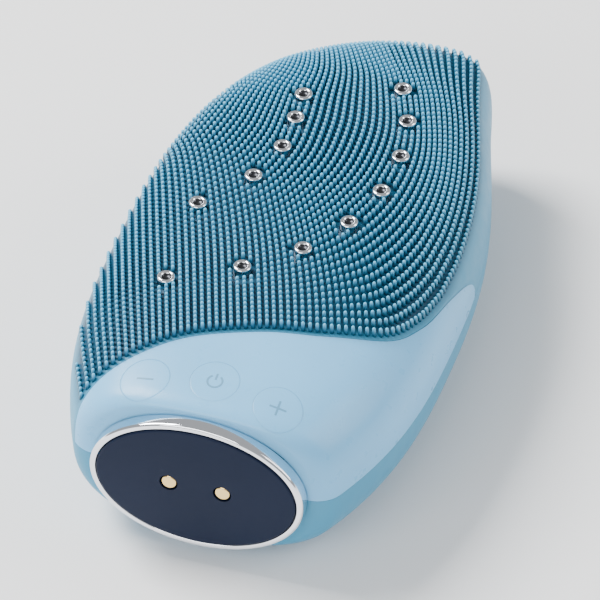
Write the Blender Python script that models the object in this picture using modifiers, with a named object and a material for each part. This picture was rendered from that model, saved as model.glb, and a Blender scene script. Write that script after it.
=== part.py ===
"""Silicone facial cleansing brush with metal contact pins, lying on its back.

Every piece is placed in the brush's own frame, whose origin is the middle of
the foot's end face, on the parting plane: X across, Y towards the tip, Z out of
the bristle face.  The empty "brush_frame" then sets the brush down on its back,
so that the world's origin is the bottom centre of the whole brush.
"""

import math

import bmesh
import bpy
from mathutils import Matrix, Vector

MM = 0.001

# ---- driving sizes of the body ----
LENGTH = 118.0 * MM              # foot's end face to the tip
HALF_WIDTH = 32.7 * MM           # half the width at the widest station
FRONT_DEPTH = 18.8 * MM          # parting plane to the front's highest line
BACK_DEPTH = 18.0 * MM           # parting plane to the flat of the back
FOOT_HEIGHT = 3.2 * MM           # how far the foot stands out of the silicone
WIDEST_AT = 48.0 * MM            # station of the widest section
BASE_HALF_WIDTH = 23.5 * MM      # half width the sides run down to at the base
BASE_DEPTH_DROP = 3.0 * MM       # how much shallower the base end is
FLAT_FROM = 42.0 * MM            # the crest of both faces starts here
BACK_FLAT_LENGTH = 30.0 * MM     # length of the flat along the back
TIP_LEAN = 16.0 * MM             # sideways lean of the tip
WAIST_LEAN = 2.0 * MM            # the middle leans the other way
LEAN_POWER = 7.0
SIDE_POWER = 2.6                 # how late the sides turn in to the tip
TIP_POWER = 1.8
SECTION_POWER = 2.7              # 2 is an ellipse, more is boxier
CREST_POWER = 2.2
CREST_ROOT = 4.5
BASE_TAPER_POWER = 2.6
BASE_CORNER_SIDE = 3.0 * MM      # rounding of the base end, at the sides
BASE_CORNER_FACE = 1.2 * MM      # and at the front and back

# ---- walls and clearances ----
SKIN = 2.0 * MM                  # silicone wall
WALL = 1.5 * MM                  # plastic housing wall
GAP = 0.3 * MM                   # between touching pieces
HOUSING_START = 4.6 * MM         # station where the housing's base rim lies
SEAL_THICKNESS = 0.6 * MM
SEAL_WIDTH = 1.1 * MM

# ---- mesh density of the body ----
DETAIL = (15, 13)                # strips around a half, and stations along it
CORNER_STATIONS = 2

# ---- control panel and buttons ----
PANEL_EDGE = ((-30.0, -2.0), (-22.0, 7.7), (-15.0, 13.9), (-7.0, 19.3), (4.5, 23.9),
              (15.5, 27.1), (25.3, 32.7), (29.3, 41.0), (31.0, 52.0), (32.0, 62.0))
BUTTONS = (("minus", -12.0, 8.3), ("power", 0.4, 10.3), ("plus", 12.8, 8.3))
BUTTON_RADIUS = 4.2 * MM
BUTTON_THICKNESS = 1.2 * MM
BUTTON_TRAVEL = 0.4 * MM
PLUNGER_RADIUS = 1.8 * MM
PLUNGER_FLANGE = 2.5 * MM
PLUNGER_FLANGE_THICKNESS = 0.8 * MM
SWITCH_SIZE = (5.2 * MM, 5.2 * MM, 1.8 * MM)
SWITCH_ROOM = 0.5 * MM           # from a switch up to the flange over it

# ---- contact pins ----
PIN_RADIUS = 1.5 * MM
PIN_PROUD = 1.8 * MM             # dome's top above the silicone
PIN_NECK = 1.0 * MM
PIN_TAIL = 0.45 * MM
INNER_ROW = ((-7.9, 87.4), (-7.6, 79.2), (-2.3, 64.6), (-16.7, 52.7))
OUTER_ROW = ((8.5, 95.3), (18.7, 76.9), (17.7, 41.8), (-15.8, 31.8))
INNER_COUNT = 5
OUTER_COUNT = 8
DRAWN_LENGTH = 118.0             # the spots above are for this length
DRAWN_HALF_WIDTH = 32.7          # and for this half width, in millimetres

# ---- boards ----
BOARD_THICKNESS = 1.0 * MM
CONTROL_BOARD_FROM = 5.6 * MM
CONTROL_BOARD_TO = 36.0 * MM
CONTROL_BOARD_HALF = 17.0 * MM
ELECTRODE_BOARD_DROP = 9.4 * MM  # from the front's highest line down to its underside
ELECTRODE_BOARD_MARGIN = 4.0 * MM
ELECTRODE_BOARD_CLEAR = 4.5 * MM  # from its long edges to the housing's wall

# ---- battery ----
BATTERY_SIZE = (24.0 * MM, 36.0 * MM, 8.4 * MM)
BATTERY_FROM = 19.0 * MM
BATTERY_STACK = 11.0 * MM        # back housing's floor to the cell's top
PAD_THICKNESS = 1.0 * MM
PLUG_SIZE = (7.0 * MM, 5.0 * MM, 3.0 * MM)

# ---- motor ----
MOTOR_RADIUS = 5.5 * MM
MOTOR_LENGTH = 17.0 * MM
MOTOR_Z = -3.0 * MM
MOTOR_BEHIND_BATTERY = 6.5 * MM
SHAFT_RADIUS = 1.0 * MM
SHAFT_OUT = 7.5 * MM
WEIGHT_RADIUS = 5.0 * MM
WEIGHT_LENGTH = 5.0 * MM
CLAMP_WIDTH = 8.0 * MM
CLAMP_THICKNESS = 1.0 * MM
CLAMP_EAR = 5.6 * MM

# ---- screws ----
HOUSING_SCREW_SPOTS = ((-21.5, 31.0), (21.5, 31.0), (-18.5, 84.0), (18.0, 84.0))
SCREW_SHANK = 0.9 * MM
SCREW_HEAD = 1.9 * MM
SCREW_HEAD_HEIGHT = 1.2 * MM
SCREW_LENGTH = 13.0 * MM
BOSS_RADIUS = 3.2 * MM
SMALL_SCREW_LENGTH = 6.0 * MM

# ---- foot ----
FOOT_IN_FROM_SIDE = 3.5 * MM     # from the base's outline in to the foot's
FOOT_IN_FROM_FACE = 0.8 * MM
FOOT_RING_WALL = 1.2 * MM
FOOT_EDGE = 0.5 * MM             # rounding of the ring's outer end edge
FOOT_PAD_THICKNESS = 1.8 * MM
FOOT_PAD_PROUD = 0.2 * MM        # the pad stands past the ring by this much
FOOT_PLATE_THICKNESS = 1.7 * MM
FOOT_SCREW_X = 12.6 * MM
FOOT_SCREW_Z = -4.2 * MM
CONTACT_X = 5.0 * MM
CONTACT_RADIUS = 1.5 * MM
CONTACT_RECESS = 0.1 * MM

# ---- wires ----
WIRE_RADIUS = 0.5 * MM


# ============================ scene and materials ============================

def clear_scene():
    for old in list(bpy.data.objects):
        bpy.data.objects.remove(old)


def make_collection(name):
    collection = bpy.data.collections.new(name)
    bpy.context.scene.collection.children.link(collection)
    return collection


def make_material(name, colour, roughness, metallic=0.0):
    material = bpy.data.materials.new(name)
    material.use_nodes = True
    shader = material.node_tree.nodes["Principled BSDF"]
    shader.inputs["Base Color"].default_value = (*colour, 1.0)
    shader.inputs["Roughness"].default_value = roughness
    shader.inputs["Metallic"].default_value = metallic
    return material


clear_scene()
PARTS = make_collection("facial_cleansing_brush")
CUTTERS = make_collection("cutters")

FRAME = bpy.data.objects.new("brush_frame", None)
FRAME.location = (0.0, -LENGTH / 2, BACK_DEPTH)
PARTS.objects.link(FRAME)

FINISHES = {
    "bristle_silicone": ((0.05, 0.24, 0.36), 0.45, 0.0),
    "panel_silicone": ((0.33, 0.60, 0.76), 0.35, 0.0),
    "housing_plastic": ((0.78, 0.80, 0.82), 0.5, 0.0),
    "grey_plastic": ((0.25, 0.27, 0.30), 0.5, 0.0),
    "dark_rubber": ((0.02, 0.03, 0.06), 0.6, 0.0),
    "seal_rubber": ((0.85, 0.45, 0.25), 0.6, 0.0),
    "chrome": ((0.85, 0.87, 0.90), 0.08, 1.0),
    "steel": ((0.60, 0.61, 0.62), 0.3, 1.0),
    "gold": ((0.90, 0.66, 0.25), 0.2, 1.0),
    "board_green": ((0.03, 0.22, 0.10), 0.5, 0.0),
    "chip_black": ((0.02, 0.02, 0.02), 0.4, 0.0),
    "battery_wrap": ((0.70, 0.72, 0.75), 0.35, 0.3),
    "wire_red": ((0.60, 0.03, 0.03), 0.5, 0.0),
    "wire_black": ((0.02, 0.02, 0.02), 0.5, 0.0),
    "led_white": ((0.90, 0.90, 0.85), 0.3, 0.0),
}


def add_object(name, mesh, finish, location=(0.0, 0.0, 0.0), parent=None):
    """Link a mesh as a finished piece with its own copy of a finish."""
    obj = bpy.data.objects.new(name, mesh)
    obj.location = location
    obj.parent = parent or FRAME
    mesh.materials.append(make_material(name + "_" + finish, *FINISHES[finish]))
    PARTS.objects.link(obj)
    return obj


def add_cutter(name, mesh):
    obj = bpy.data.objects.new(name, mesh)
    obj.parent = FRAME
    obj.hide_render = True
    obj.display_type = "WIRE"
    CUTTERS.objects.link(obj)
    return obj


def shade(obj, angle=35.0):
    obj.data.shade_smooth()
    obj.data.set_sharp_from_angle(angle=math.radians(angle))


def boolean(obj, other, operation):
    modifier = obj.modifiers.new(operation.lower() + "_" + other.name, "BOOLEAN")
    modifier.operation = operation
    modifier.solver = "EXACT"
    modifier.object = other
    return modifier


# ============================ the body's surface ============================

def power_arc(share, power, root):
    """1 at share 0, falling to 0 at share 1."""
    return max(0.0, 1.0 - share ** power) ** (1.0 / root)


def tip_share(station, start, inset):
    return min(1.0, max(0.0, (station - start) / (LENGTH - inset - start)))


def base_share(station, start):
    return max(0.0, (start - station) / (start - FOOT_HEIGHT))


def half_width(station, inset=0.0):
    share = tip_share(station, WIDEST_AT, inset)
    taper = (HALF_WIDTH - BASE_HALF_WIDTH) * base_share(station, WIDEST_AT) ** BASE_TAPER_POWER
    return (HALF_WIDTH - inset) * power_arc(share, SIDE_POWER, TIP_POWER) - taper


def lean(station, inset=0.0):
    share = tip_share(station, WIDEST_AT, inset)
    return TIP_LEAN * share ** LEAN_POWER - WAIST_LEAN * share ** 2


def crest(station, depth, flat_length, inset=0.0):
    """Height of the middle line of a face over the parting plane."""
    share = tip_share(station, FLAT_FROM + flat_length, inset)
    drop = BASE_DEPTH_DROP * base_share(station, FLAT_FROM) ** BASE_TAPER_POWER
    return (depth - inset) * power_arc(share, CREST_POWER, CREST_ROOT) - drop


def front_crest(station, inset=0.0):
    return crest(station, FRONT_DEPTH, 0.0, inset)


def back_crest(station, inset=0.0):
    return crest(station, BACK_DEPTH, BACK_FLAT_LENGTH, inset)


def front_height(x, station, inset=0.0):
    """Height of the front surface, at an inset, over a spot of the plan."""
    side = min(1.0, abs(x - lean(station, inset)) / half_width(station, inset))
    return front_crest(station, inset) * power_arc(side, SECTION_POWER, SECTION_POWER)


def lowest_around(x, y, radius, inset):
    return min(front_height(x + radius * math.cos(math.pi * step / 4),
                            y + radius * math.sin(math.pi * step / 4), inset)
               for step in range(8))


def back_height(x, station, inset=0.0):
    side = min(1.0, abs(x - lean(station, inset)) / half_width(station, inset))
    return -back_crest(station, inset) * power_arc(side, SECTION_POWER, SECTION_POWER)


def cavity_half(station, height):
    """Half width inside the front housing at a height over the parting plane."""
    share = height / front_crest(station, HOUSING_IN)
    return half_width(station, HOUSING_IN) * power_arc(share, SECTION_POWER, SECTION_POWER)


def section_arc(around):
    """Unit half section from +X to -X; the skin's middle strip lies level at height 1."""
    strips = DETAIL[0]
    level = math.sin(math.pi * (strips // 2) / strips) ** (2.0 / SECTION_POWER)
    points = []
    for step in range(around + 1):
        angle = math.pi * step / around
        across = math.copysign(abs(math.cos(angle)) ** (2.0 / SECTION_POWER), math.cos(angle))
        up = max(0.0, math.sin(angle)) ** (2.0 / SECTION_POWER) / level
        points.append((across, min(1.0, up)))
    return points


def tip_spacing(step, steps):
    """Share of the length at a station: they crowd together towards the tip."""
    return math.sin(math.pi / 2 * step / steps) ** 1.15


def stations(start, inset, count):
    """(station, side inset, face inset) of each section, rounding the base corner."""
    rows = []
    for step in range(CORNER_STATIONS):
        turn = math.pi / 2 * step / CORNER_STATIONS
        rows.append((start + BASE_CORNER_SIDE * (1.0 - math.cos(turn)),
                     BASE_CORNER_SIDE * (1.0 - math.sin(turn)),
                     BASE_CORNER_FACE * (1.0 - math.sin(turn))))
    first = start + BASE_CORNER_SIDE
    last = LENGTH - inset
    for step in range(count):
        rows.append((first + (last - first) * tip_spacing(step, count), 0.0, 0.0))
    return rows


def half_surface(face, start, inset, split, detail):
    """Rows of points of one face of the body at an inset, and its tip point."""
    arc = section_arc(detail[0])
    sign = 1.0 if face == "front" else -1.0
    crest_at = front_crest if face == "front" else back_crest
    rows = []
    for station, side_inset, face_inset in stations(start, inset, detail[1]):
        wide = half_width(station, inset) - side_inset
        high = crest_at(station, inset) - face_inset - split
        middle = lean(station, inset)
        rows.append([Vector((middle + wide * across, station, sign * (split + high * up)))
                     for across, up in arc])
    tip = [Vector((lean(LENGTH - inset, inset), LENGTH - inset, sign * split))]
    return rows, tip


def add_rows(bm, rows, tip):
    grid = [[bm.verts.new(point) for point in row] for row in rows]
    return grid, bm.verts.new(tip[0])


def half_shell(face, start, outer, inner, split, detail):
    """Closed wall of one half of the body between two insets.

    The wall is a loft of unlike sections, open at the base end and closed
    around the tip; split is half the gap left at the parting plane.
    """
    bm = bmesh.new()
    around = detail[0]
    outside, outer_tip = add_rows(bm, *half_surface(face, start, outer, split, detail))
    inside, inner_tip = add_rows(bm, *half_surface(face, start, inner, split, detail))
    for grid, point in ((outside, outer_tip), (inside, inner_tip)):
        for row, after in zip(grid, grid[1:]):
            for step in range(around):
                bm.faces.new((row[step], row[step + 1], after[step + 1], after[step]))
        for step in range(around):
            bm.faces.new((grid[-1][step], grid[-1][step + 1], point))
    for step in range(around):
        bm.faces.new((outside[0][step], outside[0][step + 1],
                      inside[0][step + 1], inside[0][step]))
    for edge in (0, around):
        for lower in range(len(outside) - 1):
            bm.faces.new((outside[lower][edge], outside[lower + 1][edge],
                          inside[lower + 1][edge], inside[lower][edge]))
        bm.faces.new((outside[-1][edge], outer_tip, inner_tip, inside[-1][edge]))
    return finish_mesh(bm, face + "_shell")


def half_solid(face, start, inset, split, detail):
    """Closed filled half of the body at an inset, to trim what stands inside it."""
    bm = bmesh.new()
    around = detail[0]
    grid, point = add_rows(bm, *half_surface(face, start, inset, split, detail))
    for row, after in zip(grid, grid[1:]):
        for step in range(around):
            bm.faces.new((row[step], row[step + 1], after[step + 1], after[step]))
    for step in range(around):
        bm.faces.new((grid[-1][step], grid[-1][step + 1], point))
    bm.faces.new(grid[0])
    bm.faces.new([row[0] for row in grid] + [point] + [row[-1] for row in reversed(grid)])
    return finish_mesh(bm, face + "_solid")


def finish_mesh(bm, name):
    bmesh.ops.recalc_face_normals(bm, faces=bm.faces)
    mesh = bpy.data.meshes.new(name)
    bm.to_mesh(mesh)
    bm.free()
    return mesh


# ============================ simple shapes ============================

def cylinder_mesh(spots, radius, low, high, sides=16, axis="Z"):
    """One mesh of separate cylinders; each spot is (a, b) across the axis."""
    bm = bmesh.new()
    for first, second in spots:
        made = bmesh.ops.create_cone(bm, cap_ends=True, segments=sides, radius1=radius,
                                     radius2=radius, depth=high - low)
        middle = (low + high) / 2
        if axis == "Y":
            bmesh.ops.rotate(bm, verts=made["verts"], matrix=Matrix.Rotation(math.pi / 2, 3, "X"))
            shift = (first, middle, second)
        else:
            shift = (first, second, middle)
        bmesh.ops.translate(bm, verts=made["verts"], vec=shift)
    return finish_mesh(bm, "cylinders")


def box_mesh(size, centre, rounding=0.0):
    bm = bmesh.new()
    bmesh.ops.create_cube(bm, size=1.0)
    bmesh.ops.scale(bm, verts=bm.verts, vec=size)
    bmesh.ops.translate(bm, verts=bm.verts, vec=centre)
    if rounding > 0.0:
        bmesh.ops.bevel(bm, geom=list(bm.edges), offset=rounding, segments=2,
                        profile=0.5, affect="EDGES")
    return finish_mesh(bm, "box")


def turned(name, profile, finish, location, sides=14, along="Z", parent=None):
    """A turned piece: profile is (radius, height) pairs from the top down."""
    mesh = bpy.data.meshes.new(name)
    bm = bmesh.new()
    points = [bm.verts.new((radius, 0.0, height)) for radius, height in profile]
    for one, two in zip(points, points[1:]):
        bm.edges.new((one, two))
    bm.to_mesh(mesh)
    bm.free()
    obj = add_object(name, mesh, finish, location, parent)
    screw = obj.modifiers.new("turn", "SCREW")
    screw.axis = "Z"
    screw.steps = sides
    screw.render_steps = sides
    screw.use_merge_vertices = True
    screw.merge_threshold = 0.00002
    if along == "Y":
        obj.rotation_euler = (-math.pi / 2, 0.0, 0.0)
    return obj


def oval(half_x, half_z, sides, power=2.0):
    points = []
    for step in range(sides):
        angle = 2 * math.pi * step / sides
        across = math.copysign(abs(math.cos(angle)) ** (2.0 / power), math.cos(angle))
        up = math.copysign(abs(math.sin(angle)) ** (2.0 / power), math.sin(angle))
        points.append((half_x * across, half_z * up))
    return points


def oval_loft(sections, hole=None, sides=32):
    """Loft of ovals along Y; sections and hole are (y, half_x, half_z) lists."""
    bm = bmesh.new()

    def rings(rows):
        return [[bm.verts.new((x, y, z)) for x, z in oval(half_x, half_z, sides)]
                for y, half_x, half_z in rows]

    def skin(rows):
        for row, after in zip(rows, rows[1:]):
            for step in range(sides):
                turn = (step + 1) % sides
                bm.faces.new((row[step], row[turn], after[turn], after[step]))

    outer = rings(sections)
    skin(outer)
    if hole:
        inner = rings(hole)
        skin(inner)
        skin([outer[0], inner[0]])
        skin([outer[-1], inner[-1]])
    else:
        bm.faces.new(outer[0])
        bm.faces.new(outer[-1])
    return finish_mesh(bm, "oval")


def flat_mesh(outline, low, high, axis="Z"):
    """Upright prism from a flat outline, through Blender's own filled curve."""
    curve = bpy.data.curves.new("outline", "CURVE")
    curve.dimensions = "2D"
    curve.fill_mode = "BOTH"
    curve.extrude = (high - low) / 2
    spline = curve.splines.new("POLY")
    spline.points.add(len(outline) - 1)
    for point, (a, b) in zip(spline.points, outline):
        point.co = (a, b, 0.0, 1.0)
    spline.use_cyclic_u = True
    mesh = curve_to_mesh(curve)
    middle = (low + high) / 2
    if axis == "Y":
        mesh.transform(Matrix.Rotation(math.pi / 2, 4, "X"))
        mesh.transform(Matrix.Translation((0.0, middle, 0.0)))
    else:
        mesh.transform(Matrix.Translation((0.0, 0.0, middle)))
    return mesh


def curve_to_mesh(curve):
    """A closed mesh of a curve: its caps are welded on and the curve is removed."""
    obj = bpy.data.objects.new("curve", curve)
    bpy.context.scene.collection.objects.link(obj)
    graph = bpy.context.evaluated_depsgraph_get()
    mesh = bpy.data.meshes.new_from_object(obj.evaluated_get(graph))
    bpy.data.objects.remove(obj)
    bm = bmesh.new()
    bm.from_mesh(mesh)
    bmesh.ops.remove_doubles(bm, verts=bm.verts, dist=0.000005)
    bmesh.ops.recalc_face_normals(bm, faces=bm.faces)
    bm.to_mesh(mesh)
    bm.free()
    mesh.materials.clear()
    return mesh


def smooth_route(points, spacing):
    """Points along a Catmull-Rom curve through the given ones."""
    line = [Vector(point) for point in points]
    ends = [line[0] * 2 - line[1]] + line + [line[-1] * 2 - line[-2]]
    route = []
    for one, two, three, four in zip(ends, ends[1:], ends[2:], ends[3:]):
        steps = max(1, round((three - two).length / spacing))
        for step in range(steps):
            t = step / steps
            route.append(0.5 * (2 * two + (three - one) * t
                                + (2 * one - 5 * two + 4 * three - four) * t * t
                                + (3 * two - one - 3 * three + four) * t ** 3))
    return route + [line[-1]]


def wire(name, points, finish):
    curve = bpy.data.curves.new(name, "CURVE")
    curve.dimensions = "3D"
    curve.bevel_depth = WIRE_RADIUS
    curve.bevel_resolution = 2
    curve.use_fill_caps = True
    route = smooth_route(points, 5 * WIRE_RADIUS)
    spline = curve.splines.new("POLY")
    spline.points.add(len(route) - 1)
    for point, place in zip(spline.points, route):
        point.co = (*place, 1.0)
    obj = add_object(name, curve_to_mesh(curve), finish)
    shade(obj)
    return obj


def bezier(corners, share):
    one, two, three, four = (Vector(corner) for corner in corners)
    rest = 1.0 - share
    return (rest ** 3 * one + 3 * rest ** 2 * share * two
            + 3 * rest * share ** 2 * three + share ** 3 * four)


def on_plan(x, y):
    """A spot of the drawn plan, in millimetres, moved with the body's size."""
    return (x * HALF_WIDTH / DRAWN_HALF_WIDTH, y * LENGTH / DRAWN_LENGTH)


# ============================ where things are ============================

def pin_spots():
    spots = []
    for corners, count in ((INNER_ROW, INNER_COUNT), (OUTER_ROW, OUTER_COUNT)):
        for step in range(count):
            spots.append(on_plan(*bezier(corners, step / (count - 1))))
    return spots


def button_spots():
    return {name: (x * MM, y * MM) for name, x, y in BUTTONS}


def flange_top(x, y):
    """Height of a plunger's flange, just under the housing's wall."""
    return lowest_around(x, y, PLUNGER_FLANGE, HOUSING_IN) - GAP


PINS = pin_spots()
BUTTON_PLACES = button_spots()
HOUSING_OUT = SKIN + GAP
HOUSING_IN = HOUSING_OUT + WALL
HOUSING_SPLIT = SEAL_THICKNESS / 2 + GAP
SCREW_PLACES = [on_plan(x, y) for x, y in HOUSING_SCREW_SPOTS]
LOWEST_FLANGE = min(flange_top(x, y) for x, y in BUTTON_PLACES.values())
SWITCH_TOP = LOWEST_FLANGE - PLUNGER_FLANGE_THICKNESS - SWITCH_ROOM
CONTROL_BOARD_TOP = SWITCH_TOP - SWITCH_SIZE[2] - GAP
CONTROL_BOARD_Z = CONTROL_BOARD_TOP - BOARD_THICKNESS
ELECTRODE_BOARD_Z = FRONT_DEPTH - ELECTRODE_BOARD_DROP
BATTERY_TOP = HOUSING_IN - BACK_DEPTH + BATTERY_STACK
BATTERY_END = BATTERY_FROM + BATTERY_SIZE[1]
MOTOR_FROM = BATTERY_END + MOTOR_BEHIND_BATTERY
MOTOR_END = MOTOR_FROM + MOTOR_LENGTH
FOOT_HALF_WIDTH = BASE_HALF_WIDTH - FOOT_IN_FROM_SIDE
FOOT_HALF_DEPTH = min(FRONT_DEPTH, BACK_DEPTH) - BASE_DEPTH_DROP - FOOT_IN_FROM_FACE
FOOT_PLATE_FROM = FOOT_PAD_THICKNESS + GAP
FOOT_PLATE_TO = FOOT_PLATE_FROM + FOOT_PLATE_THICKNESS


# ============================ silicone ============================

def panel_outline(grow):
    """Plan of the control panel: everything on the base's side of its edge."""
    edge = [Vector((x, y)) for x, y in (on_plan(x, y) for x, y in PANEL_EDGE)]
    line = [point.to_2d() for point in smooth_route([(*p, 0.0) for p in edge], 3.5 * MM)]
    shifted = []
    for number, point in enumerate(line):
        before = line[max(0, number - 1)]
        after = line[min(len(line) - 1, number + 1)]
        along = (after - before).normalized()
        shifted.append(point + Vector((-along.y, along.x)) * grow)
    far = HALF_WIDTH + 8 * MM
    corners = [Vector((far, shifted[-1].y)), Vector((far, -far)), Vector((-far, -far)),
               Vector((-far, shifted[0].y))]
    return [(point.x, point.y) for point in shifted + corners]


def build_silicone():
    tall = FRONT_DEPTH + 10 * MM
    skin = add_object("front_skin", half_shell("front", FOOT_HEIGHT, 0.0, SKIN, GAP / 2, DETAIL),
                      "bristle_silicone")
    panel = add_object("control_panel", half_shell("front", FOOT_HEIGHT, 0.0, SKIN, GAP / 2, DETAIL),
                       "panel_silicone")
    away = add_cutter("panel_place", flat_mesh(panel_outline(GAP / 2), -tall, tall))
    keep = add_cutter("panel_shape", flat_mesh(panel_outline(-GAP / 2), -tall, tall))
    boolean(skin, away, "DIFFERENCE")
    boolean(panel, keep, "INTERSECT")
    holes = add_cutter("pin_holes", cylinder_mesh(PINS, PIN_RADIUS + GAP, 0.0, tall, 10))
    boolean(skin, holes, "DIFFERENCE")
    spots = list(BUTTON_PLACES.values())
    wells = add_cutter("button_holes", cylinder_mesh(spots, BUTTON_RADIUS + GAP, 0.0, tall, 20))
    boolean(panel, wells, "DIFFERENCE")
    back = add_object("rear_skin", half_shell("back", FOOT_HEIGHT, 0.0, SKIN, GAP / 2, DETAIL),
                      "bristle_silicone")
    for obj in (skin, panel, back):
        shade(obj)


# ============================ housing ============================

def build_housing():
    walls = (HOUSING_START, HOUSING_OUT, HOUSING_IN, HOUSING_SPLIT, DETAIL)
    front = add_object("front_housing", half_shell("front", *walls), "housing_plastic")
    rear = add_object("rear_housing", half_shell("back", *walls), "housing_plastic")
    core = (HOUSING_START + GAP, HOUSING_OUT + WALL / 2, HOUSING_SPLIT, DETAIL)
    front_core = add_cutter("front_core", half_solid("front", *core))
    rear_core = add_cutter("rear_core", half_solid("back", *core))
    deep = max(FRONT_DEPTH, BACK_DEPTH)

    front_boss = add_cutter("front_bosses", cylinder_mesh(SCREW_PLACES, BOSS_RADIUS,
                                                          HOUSING_SPLIT, deep, 12))
    boolean(front_boss, front_core, "INTERSECT")
    boolean(front, front_boss, "UNION")

    rear_boss = add_cutter("rear_bosses", cylinder_mesh(SCREW_PLACES, BOSS_RADIUS,
                                                        -deep, -HOUSING_SPLIT, 12))
    boolean(rear_boss, rear_core, "INTERSECT")
    boolean(rear, rear_boss, "UNION")

    ear_z = MOTOR_Z - CLAMP_THICKNESS / 2 - GAP
    posts = add_cutter("clamp_posts", cylinder_mesh(clamp_spots(), 2.2 * MM, -deep, ear_z, 10))
    boolean(posts, rear_core, "INTERSECT")
    boolean(rear, posts, "UNION")

    foot_boss = add_cutter("foot_bosses", foot_boss_mesh(deep))
    boolean(foot_boss, rear_core, "INTERSECT")
    boolean(rear, foot_boss, "UNION")

    pins = add_cutter("pin_necks", cylinder_mesh(PINS, PIN_NECK + GAP, ELECTRODE_BOARD_Z,
                                                 deep + 5 * MM, 8))
    boolean(front, pins, "DIFFERENCE")
    plungers = add_cutter("plunger_holes", cylinder_mesh(list(BUTTON_PLACES.values()),
                                                         PLUNGER_RADIUS + GAP, CONTROL_BOARD_TOP,
                                                         deep + 5 * MM, 12))
    boolean(front, plungers, "DIFFERENCE")

    bores = add_cutter("screw_bores", cylinder_mesh(SCREW_PLACES, SCREW_SHANK + GAP,
                                                    -deep, screw_top() + GAP, 8))
    boolean(front, bores, "DIFFERENCE")
    boolean(rear, bores, "DIFFERENCE")
    for number, place in enumerate(SCREW_PLACES, 1):
        sink = add_cutter("head_sink_%d" % number,
                          cylinder_mesh([place], SCREW_HEAD + GAP, -deep - 5 * MM,
                                        head_seat(place), 10))
        boolean(rear, sink, "DIFFERENCE")
    tapped = add_cutter("clamp_bores", cylinder_mesh(clamp_spots(), SCREW_SHANK + GAP,
                                                     ear_z - SMALL_SCREW_LENGTH, 0.0, 8))
    boolean(rear, tapped, "DIFFERENCE")
    foot_bores = add_cutter("foot_bores",
                            cylinder_mesh(foot_screw_spots(), SCREW_SHANK + GAP, 0.0,
                                          foot_screw_end() + GAP, 8, "Y"))
    boolean(rear, foot_bores, "DIFFERENCE")
    for obj in (front, rear):
        shade(obj)


def clamp_spots():
    side = MOTOR_RADIUS + CLAMP_THICKNESS + CLAMP_EAR / 2
    station = MOTOR_FROM + MOTOR_LENGTH / 2
    return [(-side, station), (side, station)]


def foot_screw_spots():
    return [(-FOOT_SCREW_X, FOOT_SCREW_Z), (FOOT_SCREW_X, FOOT_SCREW_Z)]


def foot_screw_end():
    return FOOT_PLATE_FROM + SCREW_HEAD_HEIGHT / 2 + SMALL_SCREW_LENGTH


def foot_boss_mesh(deep):
    """Two blocks that rise from the back wall to take the foot's screws."""
    bm = bmesh.new()
    half = 2.4 * MM
    low = HOUSING_START + GAP
    high = foot_screw_end() + 1.2 * MM
    for x, z in foot_screw_spots():
        made = bmesh.ops.create_cube(bm, size=1.0)
        top = z + half
        bmesh.ops.scale(bm, verts=made["verts"], vec=(2 * half, high - low, top + deep))
        bmesh.ops.translate(bm, verts=made["verts"], vec=(x, (low + high) / 2, (top - deep) / 2))
    return finish_mesh(bm, "foot_bosses")


def head_seat(place):
    """Height of the shoulder that a housing screw's head pulls against."""
    return back_height(*place, HOUSING_OUT) + 1.6 * SCREW_HEAD_HEIGHT + GAP


def screw_top():
    return min(head_seat(place) for place in SCREW_PLACES) + SCREW_LENGTH


def build_housing_screws():
    for number, place in enumerate(SCREW_PLACES, 1):
        under_head = head_seat(place) - GAP
        end = screw_top() - under_head
        profile = [(0.0, end), (SCREW_SHANK * 0.6, end), (SCREW_SHANK, end - 0.6 * MM),
                   (SCREW_SHANK, 0.0), (SCREW_HEAD, 0.0),
                   (SCREW_HEAD, -SCREW_HEAD_HEIGHT + 0.2 * MM),
                   (SCREW_HEAD - 0.2 * MM, -SCREW_HEAD_HEIGHT), (0.0, -SCREW_HEAD_HEIGHT)]
        screw = turned("housing_screw_%d" % number, profile, "steel", (*place, under_head), 10)
        shade(screw)


def build_seal():
    """Flat gasket between the housing's rims, open at the base end."""
    outer = HOUSING_OUT + (WALL - SEAL_WIDTH) / 2
    inner = outer + SEAL_WIDTH
    bm = bmesh.new()

    def corner(station, side, inset, sign):
        x = lean(station, inset) + side * half_width(station, inset)
        return bm.verts.new((x, station, sign * SEAL_THICKNESS / 2))

    first = HOUSING_START + BASE_CORNER_SIDE
    rows = []
    for side in (-1.0, 1.0):
        steps = range(DETAIL[1])
        for step in (steps if side < 0 else reversed(steps)):
            share = tip_spacing(step, DETAIL[1])
            ring = []
            for inset, sign in ((outer, 1.0), (outer, -1.0), (inner, -1.0), (inner, 1.0)):
                station = first + (LENGTH - inset - first) * share
                ring.append(corner(station, side, inset, sign))
            rows.append(ring)
        if side < 0:
            rows.append([corner(LENGTH - inset, 0.0, inset, sign)
                         for inset, sign in ((outer, 1.0), (outer, -1.0),
                                             (inner, -1.0), (inner, 1.0))])
    for row, after in zip(rows, rows[1:]):
        for step in range(4):
            turn = (step + 1) % 4
            bm.faces.new((row[step], row[turn], after[turn], after[step]))
    bm.faces.new(rows[0])
    bm.faces.new(rows[-1])
    add_object("housing_seal", finish_mesh(bm, "seal"), "seal_rubber")


# ============================ buttons ============================

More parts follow.
